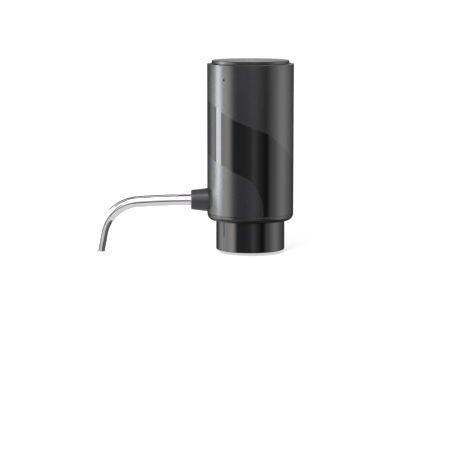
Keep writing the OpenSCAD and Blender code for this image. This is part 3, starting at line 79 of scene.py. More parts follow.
# Sizes that the frame gives, in millimetres
SLEEVE_LO, SLEEVE_HI = span("outer_sleeve")
BUTTON_LO, BUTTON_HI = span("top_button")
SPRING_LO, SPRING_HI = span("button_spring")
PORT_LO, PORT_HI = span("usb_receptacle")
RING_LO, _ = span("base_ring")
BOOT_LO, _ = span("spout_boot")
_, COLLAR_HI = span("bottle_collar")
_, SEAL_HI = span("neck_seal")
_, TUBE_HI = span("spout_tube")
BODY_R = SLEEVE_HI.x
RIM_Z, SLEEVE_Z, RING_Z = SLEEVE_HI.z, SLEEVE_LO.z, RING_LO.z
COLLAR_R, COLLAR_Z = COLLAR_HI.x, COLLAR_HI.z
BUTTON_R, TOP_Z = BUTTON_HI.y, BUTTON_HI.z
PORT_Z = (PORT_LO.z + PORT_HI.z) / 2
TUBE_R, TUBE_START_X = TUBE_HI.y, TUBE_HI.x
BOOT_END_X = -BOOT_LO.x

# Sizes that the frame doesn't give, as in the source, in millimetres and degrees
FIT_GAP = 0.1
TUBE_CLEAR = 0.05

# Sleeve, with its openings for the spout, the light and the port
SLEEVE_WALL = 1.6
RIM_CHAMFER = 0.35
RIM_LIP_W = 0.4
RIM_LIP_H = 2.6
SPOUT_Z = SLEEVE_Z + 7.95
LIGHT_Z = RIM_Z - 9.1
LIGHT_ANGLE = 38.1
LIGHT_HOLE_D = 1.3
PORT_CLEAR = 0.35

# Ring, collar and seal
RING_INSET = 3
FLOOR_T = 2.5
REGISTER_H = 5
REGISTER_T = 1.5
SPIGOT_R = 8.4
COLLAR_EDGE_R = 0.5
COLLAR_WALL = 1.8
COLLAR_ROOF_T = 2.7
LIP_D = 29.6
LIP_DEPTH = 12.4
SEAL_HOLE_D = 14.4
SEAL_LIP_T = 1.6
SEAL_GROOVE_W = 1.4
SEAL_GROOVE_DEPTH = 6
RIB_PLACE_R = 11.25
RIB_W = 1.5
RIB_GROOVE_W = 0.9
RIB_GROOVE_DEPTH = 0.8

# Boot and spout: the tube has a straight run, a long gentle arc, a bend and a straight tip
BOOT_BASE_D = 14.4
BOOT_END_D = 12
BOOT_EDGE_R = 0.65
BOOT_FLANGE_D = 17.2
BOOT_DEPTH = 3.2
BOOT_TAPER_IN = 0.4
TUBE_WALL = 0.5
TUBE_RUN = 9.5
SAG_R = 455
SAG_ANGLE = 4.2
BEND_R = 23.9
BEND_ANGLE = 75
TIP_LEN = 11.1

# Button and its spring
BUTTON_EDGE_R = 0.3
BUTTON_TOP_T = 1.6
BUTTON_BOTTOM_GAP = 0.6
DECK_BELOW_RIM = 5.9
SKIRT_T = 1.4
LEG_PLACE_R = 19.3
LEG_W = 5
LEG_T = 1.4
HOOK_REACH = 1.2
HOOK_H = 1.4
HOOK_LEAD_IN = 0.7
HOOK_ANGLES = (90, 210, 330)
POST_D = 4.4
POST_LEN = 4.1
SPRING_WIRE_D = 0.9
SPRING_TURNS = 4
SPRING_FLAT = 0.25
PRESS = 1

# Small shapes that only the looks have, in millimetres
EDGE_CHAMFER = 0.15
RING_SEAM_H = 0.12
RING_SEAM_DEPTH = 0.6
RING_EDGE = 0.1
BOOT_FLANGE_T = 1.5
TUBE_RIM = 0.15
TUBE_RIM_TRIM = 0.12
SINK = 0.2


# Geometry helpers

def make(name, verts, faces, body, stands_for, slot, sharp=32):
    """A mesh piece from points in millimetres, in its slot's finish. It rides on a body and stands for
    CAD nodes. Its faces are smooth, and break at edges sharper than an angle in degrees."""
    mesh = bpy.data.meshes.new(name)
    mesh.from_pydata([Vector(v) * MM for v in verts], [], faces)
    mesh.materials.append(slot_finish[slot])
    obj = bpy.data.objects.new(name, mesh)
    bpy.context.scene.collection.objects.link(obj)
    bm = bmesh.new()
    bm.from_mesh(mesh)
    bmesh.ops.remove_doubles(bm, verts=bm.verts, dist=1e-7)
    bmesh.ops.recalc_face_normals(bm, faces=bm.faces)
    bm.to_mesh(mesh)
    bm.free()
    mesh.shade_smooth()
    mesh.set_sharp_from_angle(angle=math.radians(sharp))
    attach(obj, body)
    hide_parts(*stands_for)
    weighted = obj.modifiers.new("weighted", "WEIGHTED_NORMAL")
    weighted.keep_sharp = True
    return obj


def rounded(corners, steps=6):
    """A closed outline from (x, y, fillet) corners, each fillet drawn as an arc."""
    points = []
    n = len(corners)
    for i, corner in enumerate(corners):
        p = Vector(corner[:2])
        fillet = corner[2] if len(corner) > 2 else 0
        if fillet == 0:
            points.append(tuple(p))
            continue
        a = (Vector(corners[i - 1][:2]) - p).normalized()
        b = (Vector(corners[(i + 1) % n][:2]) - p).normalized()
        half = a.angle(b) / 2
        reach = fillet / math.tan(half)
        centre = p + (a + b).normalized() * (fillet / math.sin(half))
        start, end = p + a * reach - centre, p + b * reach - centre
        turn = start.angle_signed(end)
        for k in range(steps + 1):
            t = -turn * k / steps
            c, s = math.cos(t), math.sin(t)
            points.append((centre.x + start.x * c - start.y * s, centre.y + start.x * s + start.y * c))
    return points


def circle(radius, steps):
    """Points of a circle round the origin."""
    turns = [2 * math.pi * k / steps for k in range(steps)]
    return [(radius * math.cos(t), radius * math.sin(t)) for t in turns]


def on_round(radius, angle, z):
    """Point at an angle round Z, in degrees from the front and positive to the right."""
    t = math.radians(angle)
    return (radius * math.sin(t), -radius * math.cos(t), z)


def revolve(outline, steps=192):
    """Points and faces of a closed (radius, height) outline turned about Z."""
    verts, faces = [], []
    n = len(outline)
    for c, s in circle(1, steps):
        verts += [(r * c, r * s, z) for r, z in outline]
    on_axis = [r < 1e-6 for r, _ in outline]
    for i in range(steps):
        j = (i + 1) % steps
        for k in range(n):
            m = (k + 1) % n
            face = [i * n + k, j * n + k, j * n + m, i * n + m]
            if on_axis[k] and on_axis[m]:
                continue
            if on_axis[k]:
                face.remove(j * n + k)
            if on_axis[m]:
                face.remove(j * n + m)
            faces.append(face)
    return verts, faces


def skin(rings):
    """Points and faces of a surface through rings of points, one after the other."""
    n = len(rings[0])
    verts = [point for ring in rings for point in ring]
    faces = []
    for i in range(len(rings) - 1):
        for k in range(n):
            m = (k + 1) % n
            faces.append([i * n + k, i * n + m, (i + 1) * n + m, (i + 1) * n + k])
    return verts, faces


def prism(outline, lo, hi):
    """Points and faces of an (x, z) outline that runs from lo to hi along Y."""
    n = len(outline)
    verts, faces = skin([[(x, y, z) for x, z in outline] for y in (lo, hi)])
    return verts, faces + [list(range(n)), list(range(n, 2 * n))]


def joined(*parts):
    """Several (points, faces) pairs as one."""
    verts, faces = [], []
    for v, f in parts:
        faces += [[len(verts) + i for i in face] for face in f]
        verts += v
    return verts, faces


def turned(part, angle):
    """A (points, faces) pair turned about Z by an angle in degrees."""
    c, s = math.cos(math.radians(angle)), math.sin(math.radians(angle))
    return [(x * c - y * s, x * s + y * c, z) for x, y, z in part[0]], part[1]


def along_spout(part):
    """A (points, faces) pair made about Z, laid so that +Z runs along the spout, to -X, at its height."""
    return [(-z, y, x + SPOUT_Z) for x, y, z in part[0]], part[1]


# Materials

class Finish:
    """A procedural material: base colour, roughness and relief come from noise at real scale."""

    # The range that most of a noise lies in, the size of worn patches and the depth of grain
    NOISE_LO, NOISE_HI = 0.3, 0.7
    PATCH_SIZE, GRAIN_DEPTH = 1.2, 0.03

    def __init__(self, name, colour, roughness, metallic=0.0, **constants):
        self.material = bpy.data.materials.new(name)
        self.material.use_nodes = True
        self.tree = self.material.node_tree
        self.shader = self.tree.nodes["Principled BSDF"]
        self.shader.inputs["Metallic"].default_value = metallic
        for key, value in constants.items():
            self.shader.inputs[key.replace("_", " ")].default_value = value
        self.colour = (*colour, 1.0)
        self.roughness = roughness
        self.coords = self.node("ShaderNodeTexCoord").outputs["Object"]
        self.normal = None

    def node(self, kind, **settings):
        made = self.tree.nodes.new(kind)
        for key, value in settings.items():
            setattr(made, key, value)
        return made

    def link(self, a, b):
        self.tree.links.new(a, b)

    def scaled(self, x, y, z, coords=None):
        """Coordinates in units of x, y and z millimetres."""
        mapping = self.node("ShaderNodeMapping")
        mapping.inputs["Scale"].default_value = (1 / (x * MM), 1 / (y * MM), 1 / (z * MM))
        self.link(coords or self.coords, mapping.inputs["Vector"])
        return mapping.outputs["Vector"]

    def noise(self, size, detail=3.0, coords=None):
        """Noise whose features are about size millimetres across, from 0 to 1."""
        made = self.node("ShaderNodeTexNoise")
        made.inputs["Scale"].default_value = 1.0
        made.inputs["Detail"].default_value = detail
        self.link(coords or self.scaled(size, size, size), made.inputs["Vector"])
        return made.outputs["Fac"]

    def spread(self, value, low, high):
        """Maps the middle of a 0 to 1 value to low to high."""
        made = self.node("ShaderNodeMapRange")
        made.inputs["From Min"].default_value = self.NOISE_LO
        made.inputs["From Max"].default_value = self.NOISE_HI
        made.inputs["To Min"].default_value = low
        made.inputs["To Max"].default_value = high
        self.link(value, made.inputs["Value"])
        return made.outputs["Result"]

    def mix(self, fac, a, b):
        """Colour a where fac is 0 and b where it is 1. Each is a colour or a socket."""
        made = self.node("ShaderNodeMix", data_type="RGBA")
        self.link(fac, made.inputs["Factor"])
        for value, name in ((a, "A"), (b, "B")):
            target = [i for i in made.inputs if i.name == name and i.type == "RGBA"][0]
            if isinstance(value, tuple):
                target.default_value = value
            else:
                self.link(value, target)
        return [o for o in made.outputs if o.type == "RGBA"][0]

    def bump(self, height, strength, distance):
        """Relief, in millimetres, over what is there already."""
        made = self.node("ShaderNodeBump")
        made.inputs["Strength"].default_value = strength
        made.inputs["Distance"].default_value = distance * MM
        self.link(height, made.inputs["Height"])
        if self.normal:
            self.link(self.normal, made.inputs["Normal"])
        self.normal = made.outputs["Normal"]

    def edges(self, radius, low=0.02, high=0.25):
        """1 at edges sharper than radius millimetres, 0 elsewhere."""
        bevel = self.node("ShaderNodeBevel", samples=4)
        bevel.inputs["Radius"].default_value = radius * MM
        flat = self.node("ShaderNodeNewGeometry").outputs["Normal"]
        dot = self.node("ShaderNodeVectorMath", operation="DOT_PRODUCT")
        self.link(bevel.outputs["Normal"], dot.inputs[0])
        self.link(flat, dot.inputs[1])
        made = self.node("ShaderNodeMapRange")
        made.inputs["From Min"].default_value = 1 - low
        made.inputs["From Max"].default_value = 1 - high
        self.link(dot.outputs["Value"], made.inputs["Value"])
        return made.outputs["Result"]

    def tint(self, factor):
        """The base colour, made lighter or darker by a factor."""
        return tuple(min(1.0, c * factor) for c in self.colour[:3]) + (1.0,)

    def done(self, mottle=0.06, mottle_size=6.0, rough_var=0.04, rough_size=3.0,
             grain=0.0, grain_size=0.25, wear=0.0, wear_radius=0.25, wear_tint=2.0):
        """Links colour variation, roughness variation, grain and edge wear, and returns the material."""
        shade = self.mix(self.spread(self.noise(mottle_size), 0, 1),
                         self.tint(1 - mottle), self.tint(1 + mottle))
        if wear:
            patch = self.node("ShaderNodeMath", operation="MULTIPLY")
            self.link(self.edges(wear_radius), patch.inputs[0])
            self.link(self.spread(self.noise(self.PATCH_SIZE, 4.0), 0.3 * wear, wear), patch.inputs[1])
            shade = self.mix(patch.outputs[0], shade, self.tint(wear_tint))
        self.link(shade, self.shader.inputs["Base Color"])
        self.link(self.spread(self.noise(rough_size, 4.0), self.roughness - rough_var,
                              self.roughness + rough_var), self.shader.inputs["Roughness"])
        if grain:
            self.bump(self.noise(grain_size, 2.0), grain, self.GRAIN_DEPTH)
        if self.normal:
            self.link(self.normal, self.shader.inputs["Normal"])
        return self.material


def plain(name, colour, roughness, metallic=0.0, **more):
    """A finish with no relief but grain. A word with a capital names one of the shader's sockets."""
    constants = {k: more.pop(k) for k in list(more) if k[0].isupper()}
    return Finish(name, colour, roughness, metallic, **constants).done(**more)


def lacquer(name, colour, roughness, lines, ior):
    """The housing's dark lacquer, over fine lines that run round it, as strong as lines says."""
    line_len, line_h, relief = 9, 0.22, 0.012
    finish = Finish(name, colour, roughness, IOR=ior)
    finish.bump(finish.noise(1, 2.0, finish.scaled(line_len, line_len, line_h)), lines, relief)
    return finish.done(mottle=0.03, mottle_size=9, rough_var=0.006, rough_size=5,
                       wear=0.2, wear_radius=0.15, wear_tint=3.0)


def turned_finish(name, colour, roughness):
    """The button's lacquer, over the fine rings that a lathe leaves round its axis."""
    ring_w, relief, strength = 0.25, 0.012, 0.3
    finish = Finish(name, colour, roughness, IOR=1.47, Anisotropic=0.5)
    tangent = finish.node("ShaderNodeTangent", direction_type="RADIAL", axis="Z")
    finish.link(tangent.outputs["Tangent"], finish.shader.inputs["Tangent"])
    parts = finish.node("ShaderNodeSeparateXYZ")
    finish.link(finish.coords, parts.inputs[0])
    flat = finish.node("ShaderNodeCombineXYZ")
    finish.link(parts.outputs["X"], flat.inputs["X"])
    finish.link(parts.outputs["Y"], flat.inputs["Y"])
    radius = finish.node("ShaderNodeVectorMath", operation="LENGTH")
    finish.link(flat.outputs[0], radius.inputs[0])
    rings = finish.node("ShaderNodeCombineXYZ")
    finish.link(radius.outputs["Value"], rings.inputs["X"])
    finish.link(parts.outputs["Z"], rings.inputs["Z"])
    lathe = finish.noise(1, 3.0, finish.scaled(ring_w, 1, ring_w, rings.outputs[0]))
    finish.bump(lathe, strength, relief)
    return finish.done(mottle=0.05, mottle_size=8, rough_var=0.02,
                       wear=0.3, wear_radius=0.3, wear_tint=2.0)


gloss = lacquer("sleeve_gloss", (0.0035, 0.0035, 0.004), 0.05, 0.0, 1.45)

slot_finish = {
    "ring_plastic": plain("ring_plastic", (0.008, 0.008, 0.009), 0.22, rough_var=0.01, grain=0.04,
                          grain_size=0.2, wear=0.15, wear_tint=2.5),
    "collar_gloss": plain("collar_gloss", (0.003, 0.003, 0.0035), 0.08, rough_var=0.015,
                          wear=0.2, wear_tint=4.0),
    "seal_silicone": plain("seal_silicone", (0.035, 0.035, 0.038), 0.55, grain=0.2),
    "food_plastic": plain("food_plastic", (0.75, 0.75, 0.72), 0.4, mottle=0.03, grain=0.1),
    "ring_rubber": plain("ring_rubber", (0.02, 0.02, 0.02), 0.6, grain=0.2),
    "brass_insert": plain("brass_insert", (0.80, 0.58, 0.26), 0.25, 1.0),
    "boot_rubber": plain("boot_rubber", (0.026, 0.026, 0.032), 0.32, grain=0.15, grain_size=0.18,
                         IOR=1.6),
    "spout_steel": plain("spout_steel", (0.86, 0.86, 0.87), 0.05, 1.0, mottle=0.015,
                         rough_var=0.015),
    "spring_steel": plain("spring_steel", (0.60, 0.60, 0.62), 0.3, 1.0),
    "frame_plastic": plain("frame_plastic", (0.03, 0.03, 0.032), 0.5, grain=0.2),
    "board_green": plain("board_green", (0.02, 0.13, 0.05), 0.35),
    "switch_black": plain("switch_black", (0.02, 0.02, 0.02), 0.4, grain=0.1),
    "plunger_red": plain("plunger_red", (0.55, 0.06, 0.03), 0.4),
    "led_clear": plain("led_clear", (0.85, 0.90, 0.95), 0.1, mottle=0.02),
    "pipe_smoke": plain("pipe_smoke", (0.003, 0.003, 0.004), 0.5, mottle=0.1,
                        Specular_IOR_Level=0.05),
    "port_metal": plain("port_metal", (0.60, 0.60, 0.62), 0.22, 1.0, wear=0.2),
    "cell_wrap": plain("cell_wrap", (0.04, 0.15, 0.36), 0.3),
    "nickel_strip": plain("nickel_strip", (0.64, 0.62, 0.56), 0.3, 1.0),
    "can_steel": plain("can_steel", (0.56, 0.56, 0.58), 0.28, 1.0),
    "magnet_ferrite": plain("magnet_ferrite", (0.05, 0.05, 0.05), 0.7, grain=0.3),
    "brush_copper": plain("brush_copper", (0.72, 0.40, 0.20), 0.3, 1.0),
    "bush_bronze": plain("bush_bronze", (0.52, 0.38, 0.20), 0.4, 1.0),
    "shaft_steel": plain("shaft_steel", (0.70, 0.70, 0.72), 0.2, 1.0),
    "core_iron": plain("core_iron", (0.22, 0.22, 0.23), 0.5, 1.0),
    "winding_copper": plain("winding_copper", (0.62, 0.22, 0.09), 0.3, 1.0),
    "pump_plastic": plain("pump_plastic", (0.62, 0.62, 0.60), 0.45, grain=0.1),
    "valve_silicone": plain("valve_silicone", (0.50, 0.10, 0.07), 0.5),
    "screw_steel": plain("screw_steel", (0.55, 0.55, 0.57), 0.3, 1.0),
    "hose_silicone": plain("hose_silicone", (0.66, 0.68, 0.70), 0.35),
    "ribbon_grey": plain("ribbon_grey", (0.30, 0.30, 0.32), 0.5),
    "lead_red": plain("lead_red", (0.48, 0.02, 0.02), 0.45),
    "lead_black": plain("lead_black", (0.02, 0.02, 0.022), 0.45),
    "sleeve_paint": lacquer("sleeve_matte", (0.010, 0.010, 0.0115), 0.27, 0.15, 1.53),
    "button_finish": turned_finish("button_finish", (0.015, 0.015, 0.016), 0.28),
}
for part in frame["record"]["subparts"]:
    mesh = nodes[part["node"]].data
    mesh.materials.clear()
    mesh.materials.append(slot_finish[part["material_slot"]])


# Sleeve

# Edges of the gloss stripe: angle from the front, positive to the right, and height above the
# sleeve's lower edge, in degrees and millimetres
STRIPE_TOP = [(-200, 91.6), (-130, 91.6), (-74, 69.7), (-52, 66), (-42, 63.2), (-25, 59.3),
              (-1, 54.6), (22.5, 50.2), (41, 44.2), (74, 32.1), (120, 14.1), (160, 0)]
STRIPE_FOOT = [(-200, 91.6), (-170, 70.1), (-130, 52.1), (-90, 40.1), (-61, 34.2), (-38, 30.7),
               (-25, 27.7), (-1, 22.4), (8, 17), (13.5, 11.1), (16, 7.5), (17, 0)]
STRIPE_START, STRIPE_END = STRIPE_FOOT[0][0], STRIPE_FOOT[-1][0]
# Angle from which the stripe's lower edge runs down steeply, and its finer steps there
STEEP_FROM, STEEP_STEP = 7, 0.25
# Angle at which the walls start and end, and the angle between their columns of faces
SEAM, COLUMN = 90, 1.5
COLUMNS = round(360 / COLUMN)


def slope(curve, k):
    """Slope of a curve at one of its points, from the points beside it."""
    before, after = curve[max(k - 1, 0)], curve[min(k + 1, len(curve) - 1)]
    return (after[1] - before[1]) / (after[0] - before[0])


def on_curve(curve, a):
    """Height of a curve above the sleeve's foot at an angle, smoothed through its points."""
    a = min(max(a, curve[0][0]), curve[-1][0])
    i = next(k for k in range(len(curve) - 1) if a <= curve[k + 1][0])
    (a0, z0), (a1, z1) = curve[i], curve[i + 1]
    w, t = a1 - a0, (a - a0) / (a1 - a0)
    m0, m1 = slope(curve, i) * w, slope(curve, i + 1) * w
    return ((2 * t**3 - 3 * t**2 + 1) * z0 + (t**3 - 2 * t**2 + t) * m0
            + (3 * t**2 - 2 * t**3) * z1 + (t**3 - t**2) * m1)


def is_gloss(angle, z):
    """Whether a place on the outer wall is in the gloss stripe."""
    angle = angle if angle > STRIPE_START else angle + 360
    height = z - SLEEVE_Z
    if height >= on_curve(STRIPE_TOP, angle):
        return False
    return angle > STRIPE_END or height > on_curve(STRIPE_FOOT, angle)


def stripe_edges(z_lo, z_hi):
    """The stripe's two edges as (angle, height) lines, cut where the wall starts and ends."""
    even = [STRIPE_START + i * COLUMN for i in range(COLUMNS + 1)]
    fine_steps = round((STRIPE_END - STEEP_FROM) / STEEP_STEP)
    fine = [STEEP_FROM + (i + 1) * STEEP_STEP for i in range(fine_steps)]
    top = [a for a in even if a <= STRIPE_TOP[-1][0]]
    foot = [a for a in even if a <= STEEP_FROM] + fine
    lines = []
    for curve, angles in ((STRIPE_TOP, top), (STRIPE_FOOT, foot)):
        edge = [(a, min(max(SLEEVE_Z + on_curve(curve, a), z_lo), z_hi)) for a in angles]
        lines.append([(a, z) for a, z in edge if a <= SEAM])
        lines.append([(a - 360, z) for a, z in edge if a >= SEAM])
    return lines


def openings(radius):
    """Outlines of the sleeve's three openings on a cylinder, as (angle, height) loops."""
    half_h = (PORT_HI.z - PORT_LO.z) / 2 + PORT_CLEAR
    straight = PORT_HI.x + PORT_CLEAR - half_h
    slot = [(-x - math.copysign(straight, x + 1e-9), z) for x, z in circle(half_h, 48)]
    boot = circle(BOOT_BASE_D / 2 + FIT_GAP, 64)
    light = circle(LIGHT_HOLE_D / 2, 24)
    places = ((boot, -90, SPOUT_Z), (light, -LIGHT_ANGLE, LIGHT_Z), (slot, -180, PORT_Z))
    return [[(angle + math.degrees(math.asin(x / radius)), z + y) for x, y in outline]
            for outline, angle, z in places]


def inside(loop, a, z):
    """Whether a point lies inside a loop."""
    hit = False
    for (a0, z0), (a1, z1) in zip(loop, loop[1:] + loop[:1]):
        if (z0 > z) != (z1 > z) and a < (a1 - a0) * (z - z0) / (z1 - z0) + a0:
            hit = not hit
    return hit


def sleeve_wall(radius, z_lo, z_hi, stripe):
    """One wall of the sleeve, unrolled, cut along its openings and stripe, and rolled up again."""
    scale, merge = math.radians(1) * radius, 1e-5
    columns = [SEAM - 360 + i * COLUMN for i in range(COLUMNS + 1)]
    loops = openings(radius)
    lines = [[(a, z_lo), (a, z_hi)] for a in columns]
    lines += [[(a, z) for a in columns] for z in (z_lo, z_hi)]
    lines += [loop + loop[:1] for loop in loops]
    if stripe:
        lines += stripe_edges(z_lo, z_hi)
    points, edges = [], []
    for line in lines:
        first = len(points)
        points += [Vector((a * scale, z)) for a, z in line]
        edges += [(first + i, first + i + 1) for i in range(len(line) - 1)]
    flat, _, faces, _, _, _ = delaunay_2d_cdt(points, edges, [], 0, merge)
    kept = []
    for face in faces:
        a = sum(flat[i].x for i in face) / len(face) / scale
        z = sum(flat[i].y for i in face) / len(face)
        if not any(inside(loop, a, z) for loop in loops):
            kept.append(list(face))
    return [on_round(radius, p.x / scale, p.y) for p in flat], kept


def make_sleeve():
    """The whole sleeve: outer and inner wall, rim, foot and the walls of its openings."""
    inner_r = BODY_R - SLEEVE_WALL
    lip_r, lip_foot = inner_r - RIM_LIP_W, RIM_Z - RIM_LIP_H
    wall_foot, wall_top = SLEEVE_Z + EDGE_CHAMFER, RIM_Z - RIM_CHAMFER
    rim = [(BODY_R - RIM_CHAMFER * (1 - math.cos(t)), RIM_Z - RIM_CHAMFER * (1 - math.sin(t)))
           for t in (math.pi / 2 * k / 5 for k in range(6))]
    rim += [(lip_r + EDGE_CHAMFER, RIM_Z), (lip_r, RIM_Z - EDGE_CHAMFER), (lip_r, lip_foot),
            (inner_r, lip_foot - RIM_LIP_W)]
    foot = [(inner_r, SLEEVE_Z), (BODY_R - EDGE_CHAMFER, SLEEVE_Z), (BODY_R, wall_foot)]
    parts = [sleeve_wall(BODY_R, wall_foot, wall_top, True),
             sleeve_wall(inner_r, SLEEVE_Z, lip_foot - RIM_LIP_W, False)]
    for profile in (rim, foot):
        parts.append(skin([[on_round(r, SEAM - 360 + i * COLUMN, z) for i in range(COLUMNS)]
                           for r, z in profile]))
    for outer, inner in zip(openings(BODY_R), openings(inner_r)):
        parts.append(skin([[on_round(r, a, z) for a, z in loop]
                           for r, loop in ((BODY_R, outer), (inner_r, inner))]))
    return make("sleeve", *joined(*parts), "housing", ["outer_sleeve"], "sleeve_paint", sharp=40)


def finish_sleeve(sleeve):
    """Gives the outer wall its gloss stripe, and paints shade into the light's hole: its wall takes the
    light pipe's near-black, barely reflecting finish.
    """
    skin_t = 0.05
    sleeve.data.materials.append(gloss)
    sleeve.data.materials.append(slot_finish["pipe_smoke"])
    for polygon in sleeve.data.polygons:
        c = polygon.center / MM
        r = math.hypot(c.x, c.y)
        if r > BODY_R - skin_t and SLEEVE_Z + EDGE_CHAMFER < c.z < RIM_Z - RIM_CHAMFER:
            angle = math.degrees(math.atan2(c.x, -c.y))
            polygon.material_index = int(is_gloss(angle if angle <= SEAM else angle - 360, c.z))
        # Painted shade: the wall of the light's hole takes the near-black, barely reflecting light-pipe
        # finish, so the hole reads dark.
        elif r > BODY_R - SLEEVE_WALL + skin_t and abs(c.z - LIGHT_Z) < LIGHT_HOLE_D:
            polygon.material_index = 2


finish_sleeve(make_sleeve())


# Ring, collar and seal

def make_ring():
    """The rounded ring, a quarter of an ellipse, with a fine groove where it meets the sleeve."""
    hole_r, register_r = SPIGOT_R + FIT_GAP, BODY_R - SLEEVE_WALL - FIT_GAP
    ring_h, edge_r, steps = SLEEVE_Z - RING_Z, BODY_R - RING_INSET, 20
    seam_z, seam_r = SLEEVE_Z - RING_SEAM_H, BODY_R - RING_SEAM_DEPTH
    turns = [math.pi / 2 * (1 - k / steps) for k in range(steps)]
    outline = [(edge_r + RING_INSET * math.cos(t), SLEEVE_Z - ring_h * math.sin(t)) for t in turns]
    outline += [
        (BODY_R - RING_EDGE / 5, seam_z - RING_EDGE), (BODY_R - RING_EDGE, seam_z), (seam_r, seam_z),
        (seam_r, SLEEVE_Z), (register_r, SLEEVE_Z), (register_r, SLEEVE_Z + REGISTER_H),
        (register_r - REGISTER_T, SLEEVE_Z + REGISTER_H), (register_r - REGISTER_T, RING_Z + FLOOR_T),
        (hole_r, RING_Z + FLOOR_T), (hole_r, RING_Z)]
    make("ring", *revolve(outline), "housing", ["base_ring"], "ring_plastic")


def make_collar():
    """The glossy collar, with its roof round the spigot."""
    foot_in, brow = 0.2, 0.15
    hole_r, inner_r, roof_z = SPIGOT_R + FIT_GAP, COLLAR_R - COLLAR_WALL, COLLAR_Z - COLLAR_ROOF_T
    outline = rounded([
        (inner_r, 0, foot_in), (COLLAR_R, 0, COLLAR_EDGE_R), (COLLAR_R, COLLAR_Z, brow),
        (hole_r, COLLAR_Z), (hole_r, roof_z), (inner_r, roof_z)])
    make("collar", *revolve(outline), "housing", ["bottle_collar"], "collar_gloss")


def make_seal():
    """The seal: a soft lip with its relief groove, and a ceiling with a rib between two grooves."""
    fine, small, soft, round_edge, tip, lead_in = 0.15, 0.2, 0.3, 0.5, 0.4, 0.6
    outer_r, hole_r, bore_r = COLLAR_R - COLLAR_WALL - FIT_GAP, SEAL_HOLE_D / 2, LIP_D / 2
    relief_in, relief_out = bore_r + SEAL_LIP_T, bore_r + SEAL_LIP_T + SEAL_GROOVE_W
    rib_in, rib_out = RIB_PLACE_R - RIB_W / 2, RIB_PLACE_R + RIB_W / 2
    groove_in, groove_out = rib_in - RIB_GROOVE_W, rib_out + RIB_GROOVE_W
    ceiling, groove_z = LIP_DEPTH, LIP_DEPTH + RIB_GROOVE_DEPTH
    outline = rounded([
        (outer_r, 0), (outer_r, SEAL_HI.z), (hole_r, SEAL_HI.z), (hole_r, ceiling, soft),
        (groove_in, ceiling, small), (groove_in, groove_z, fine), (rib_in, groove_z, fine),
        (rib_in, ceiling, soft), (rib_out, ceiling, soft), (rib_out, groove_z, fine),
        (groove_out, groove_z, fine), (groove_out, ceiling, small), (bore_r, ceiling, soft),
        (bore_r, 0, lead_in), (relief_in, 0, tip), (relief_in, SEAL_GROOVE_DEPTH, round_edge),
        (relief_out, SEAL_GROOVE_DEPTH, round_edge), (relief_out, 0, small)])
    make("seal", *revolve(outline), "housing", ["neck_seal"], "seal_silicone")


make_ring()
make_collar()
make_seal()


# Boot and spout

def make_boot():
    """The tapered boot with its flange behind the sleeve's wall."""
    flange_edge, root, mouth = 0.3, 3, 0.25
    plug_x = BODY_R - SLEEVE_WALL - BOOT_DEPTH
    bore_r, base_r, flange_r = TUBE_R + TUBE_CLEAR, BOOT_BASE_D / 2, BOOT_FLANGE_D / 2
    outline = rounded([
        (bore_r, plug_x), (flange_r, plug_x, flange_edge), (flange_r, plug_x + BOOT_FLANGE_T, flange_edge),
        (base_r, plug_x + BOOT_FLANGE_T), (base_r, BODY_R - BOOT_TAPER_IN, root),
        (BOOT_END_D / 2, BOOT_END_X, BOOT_EDGE_R), (bore_r, BOOT_END_X, mouth)], 8)
    make("boot", *along_spout(revolve(outline, 128)), "housing", ["spout_boot"], "boot_rubber")


def arc(x, z, radius, start, sweep, steps):
    """Points (x, z, angle down from level) of an arc that leaves a point and bends down."""
    a = math.radians(start)
    centre_x, centre_z = x + radius * math.sin(a), z - radius * math.cos(a)
    points = []
    for k in range(steps + 1):
        angle = start + sweep * k / steps
        a = math.radians(angle)
        points.append((centre_x - radius * math.sin(a), centre_z + radius * math.cos(a), angle))
    return points


def spout_path():
    """Points (x, z, angle) of the spout's axis: run, long gentle arc, bend and tip."""
    run = [(TUBE_START_X, SPOUT_Z, 0), (TUBE_START_X - TUBE_RIM, SPOUT_Z, 0)]
    sag = arc(-BODY_R - TUBE_RUN, SPOUT_Z, SAG_R, 0, SAG_ANGLE, 24)
    bend = arc(*sag[-1][:2], BEND_R, SAG_ANGLE, BEND_ANGLE, 100)
    x, z, angle = bend[-1]
    a = math.radians(angle)
    tip = [(x - d * math.cos(a), z - d * math.sin(a), angle) for d in (TIP_LEN - TUBE_RIM, TIP_LEN)]
    return run + sag + bend[1:] + tip


def make_spout():
    """The bent steel tube, with its two rims slightly rounded."""
    path = spout_path()
    shells = []
    for radius, trim in ((TUBE_R, -TUBE_RIM_TRIM), (TUBE_R - TUBE_WALL, TUBE_RIM_TRIM)):
        rings = []
        for i, (x, z, angle) in enumerate(path):
            r = radius + trim * (i in (0, len(path) - 1))
            s, c = math.sin(math.radians(angle)), math.cos(math.radians(angle))
            rings.append([(x - up * s, y, z + up * c) for up, y in circle(r, 128)])
        shells.append(rings)
    outer, inner = shells
    make("spout", *skin(outer + inner[::-1] + outer[:1]), "spout", ["spout_tube"], "spout_steel")


make_boot()
make_spout()


# Button and its spring

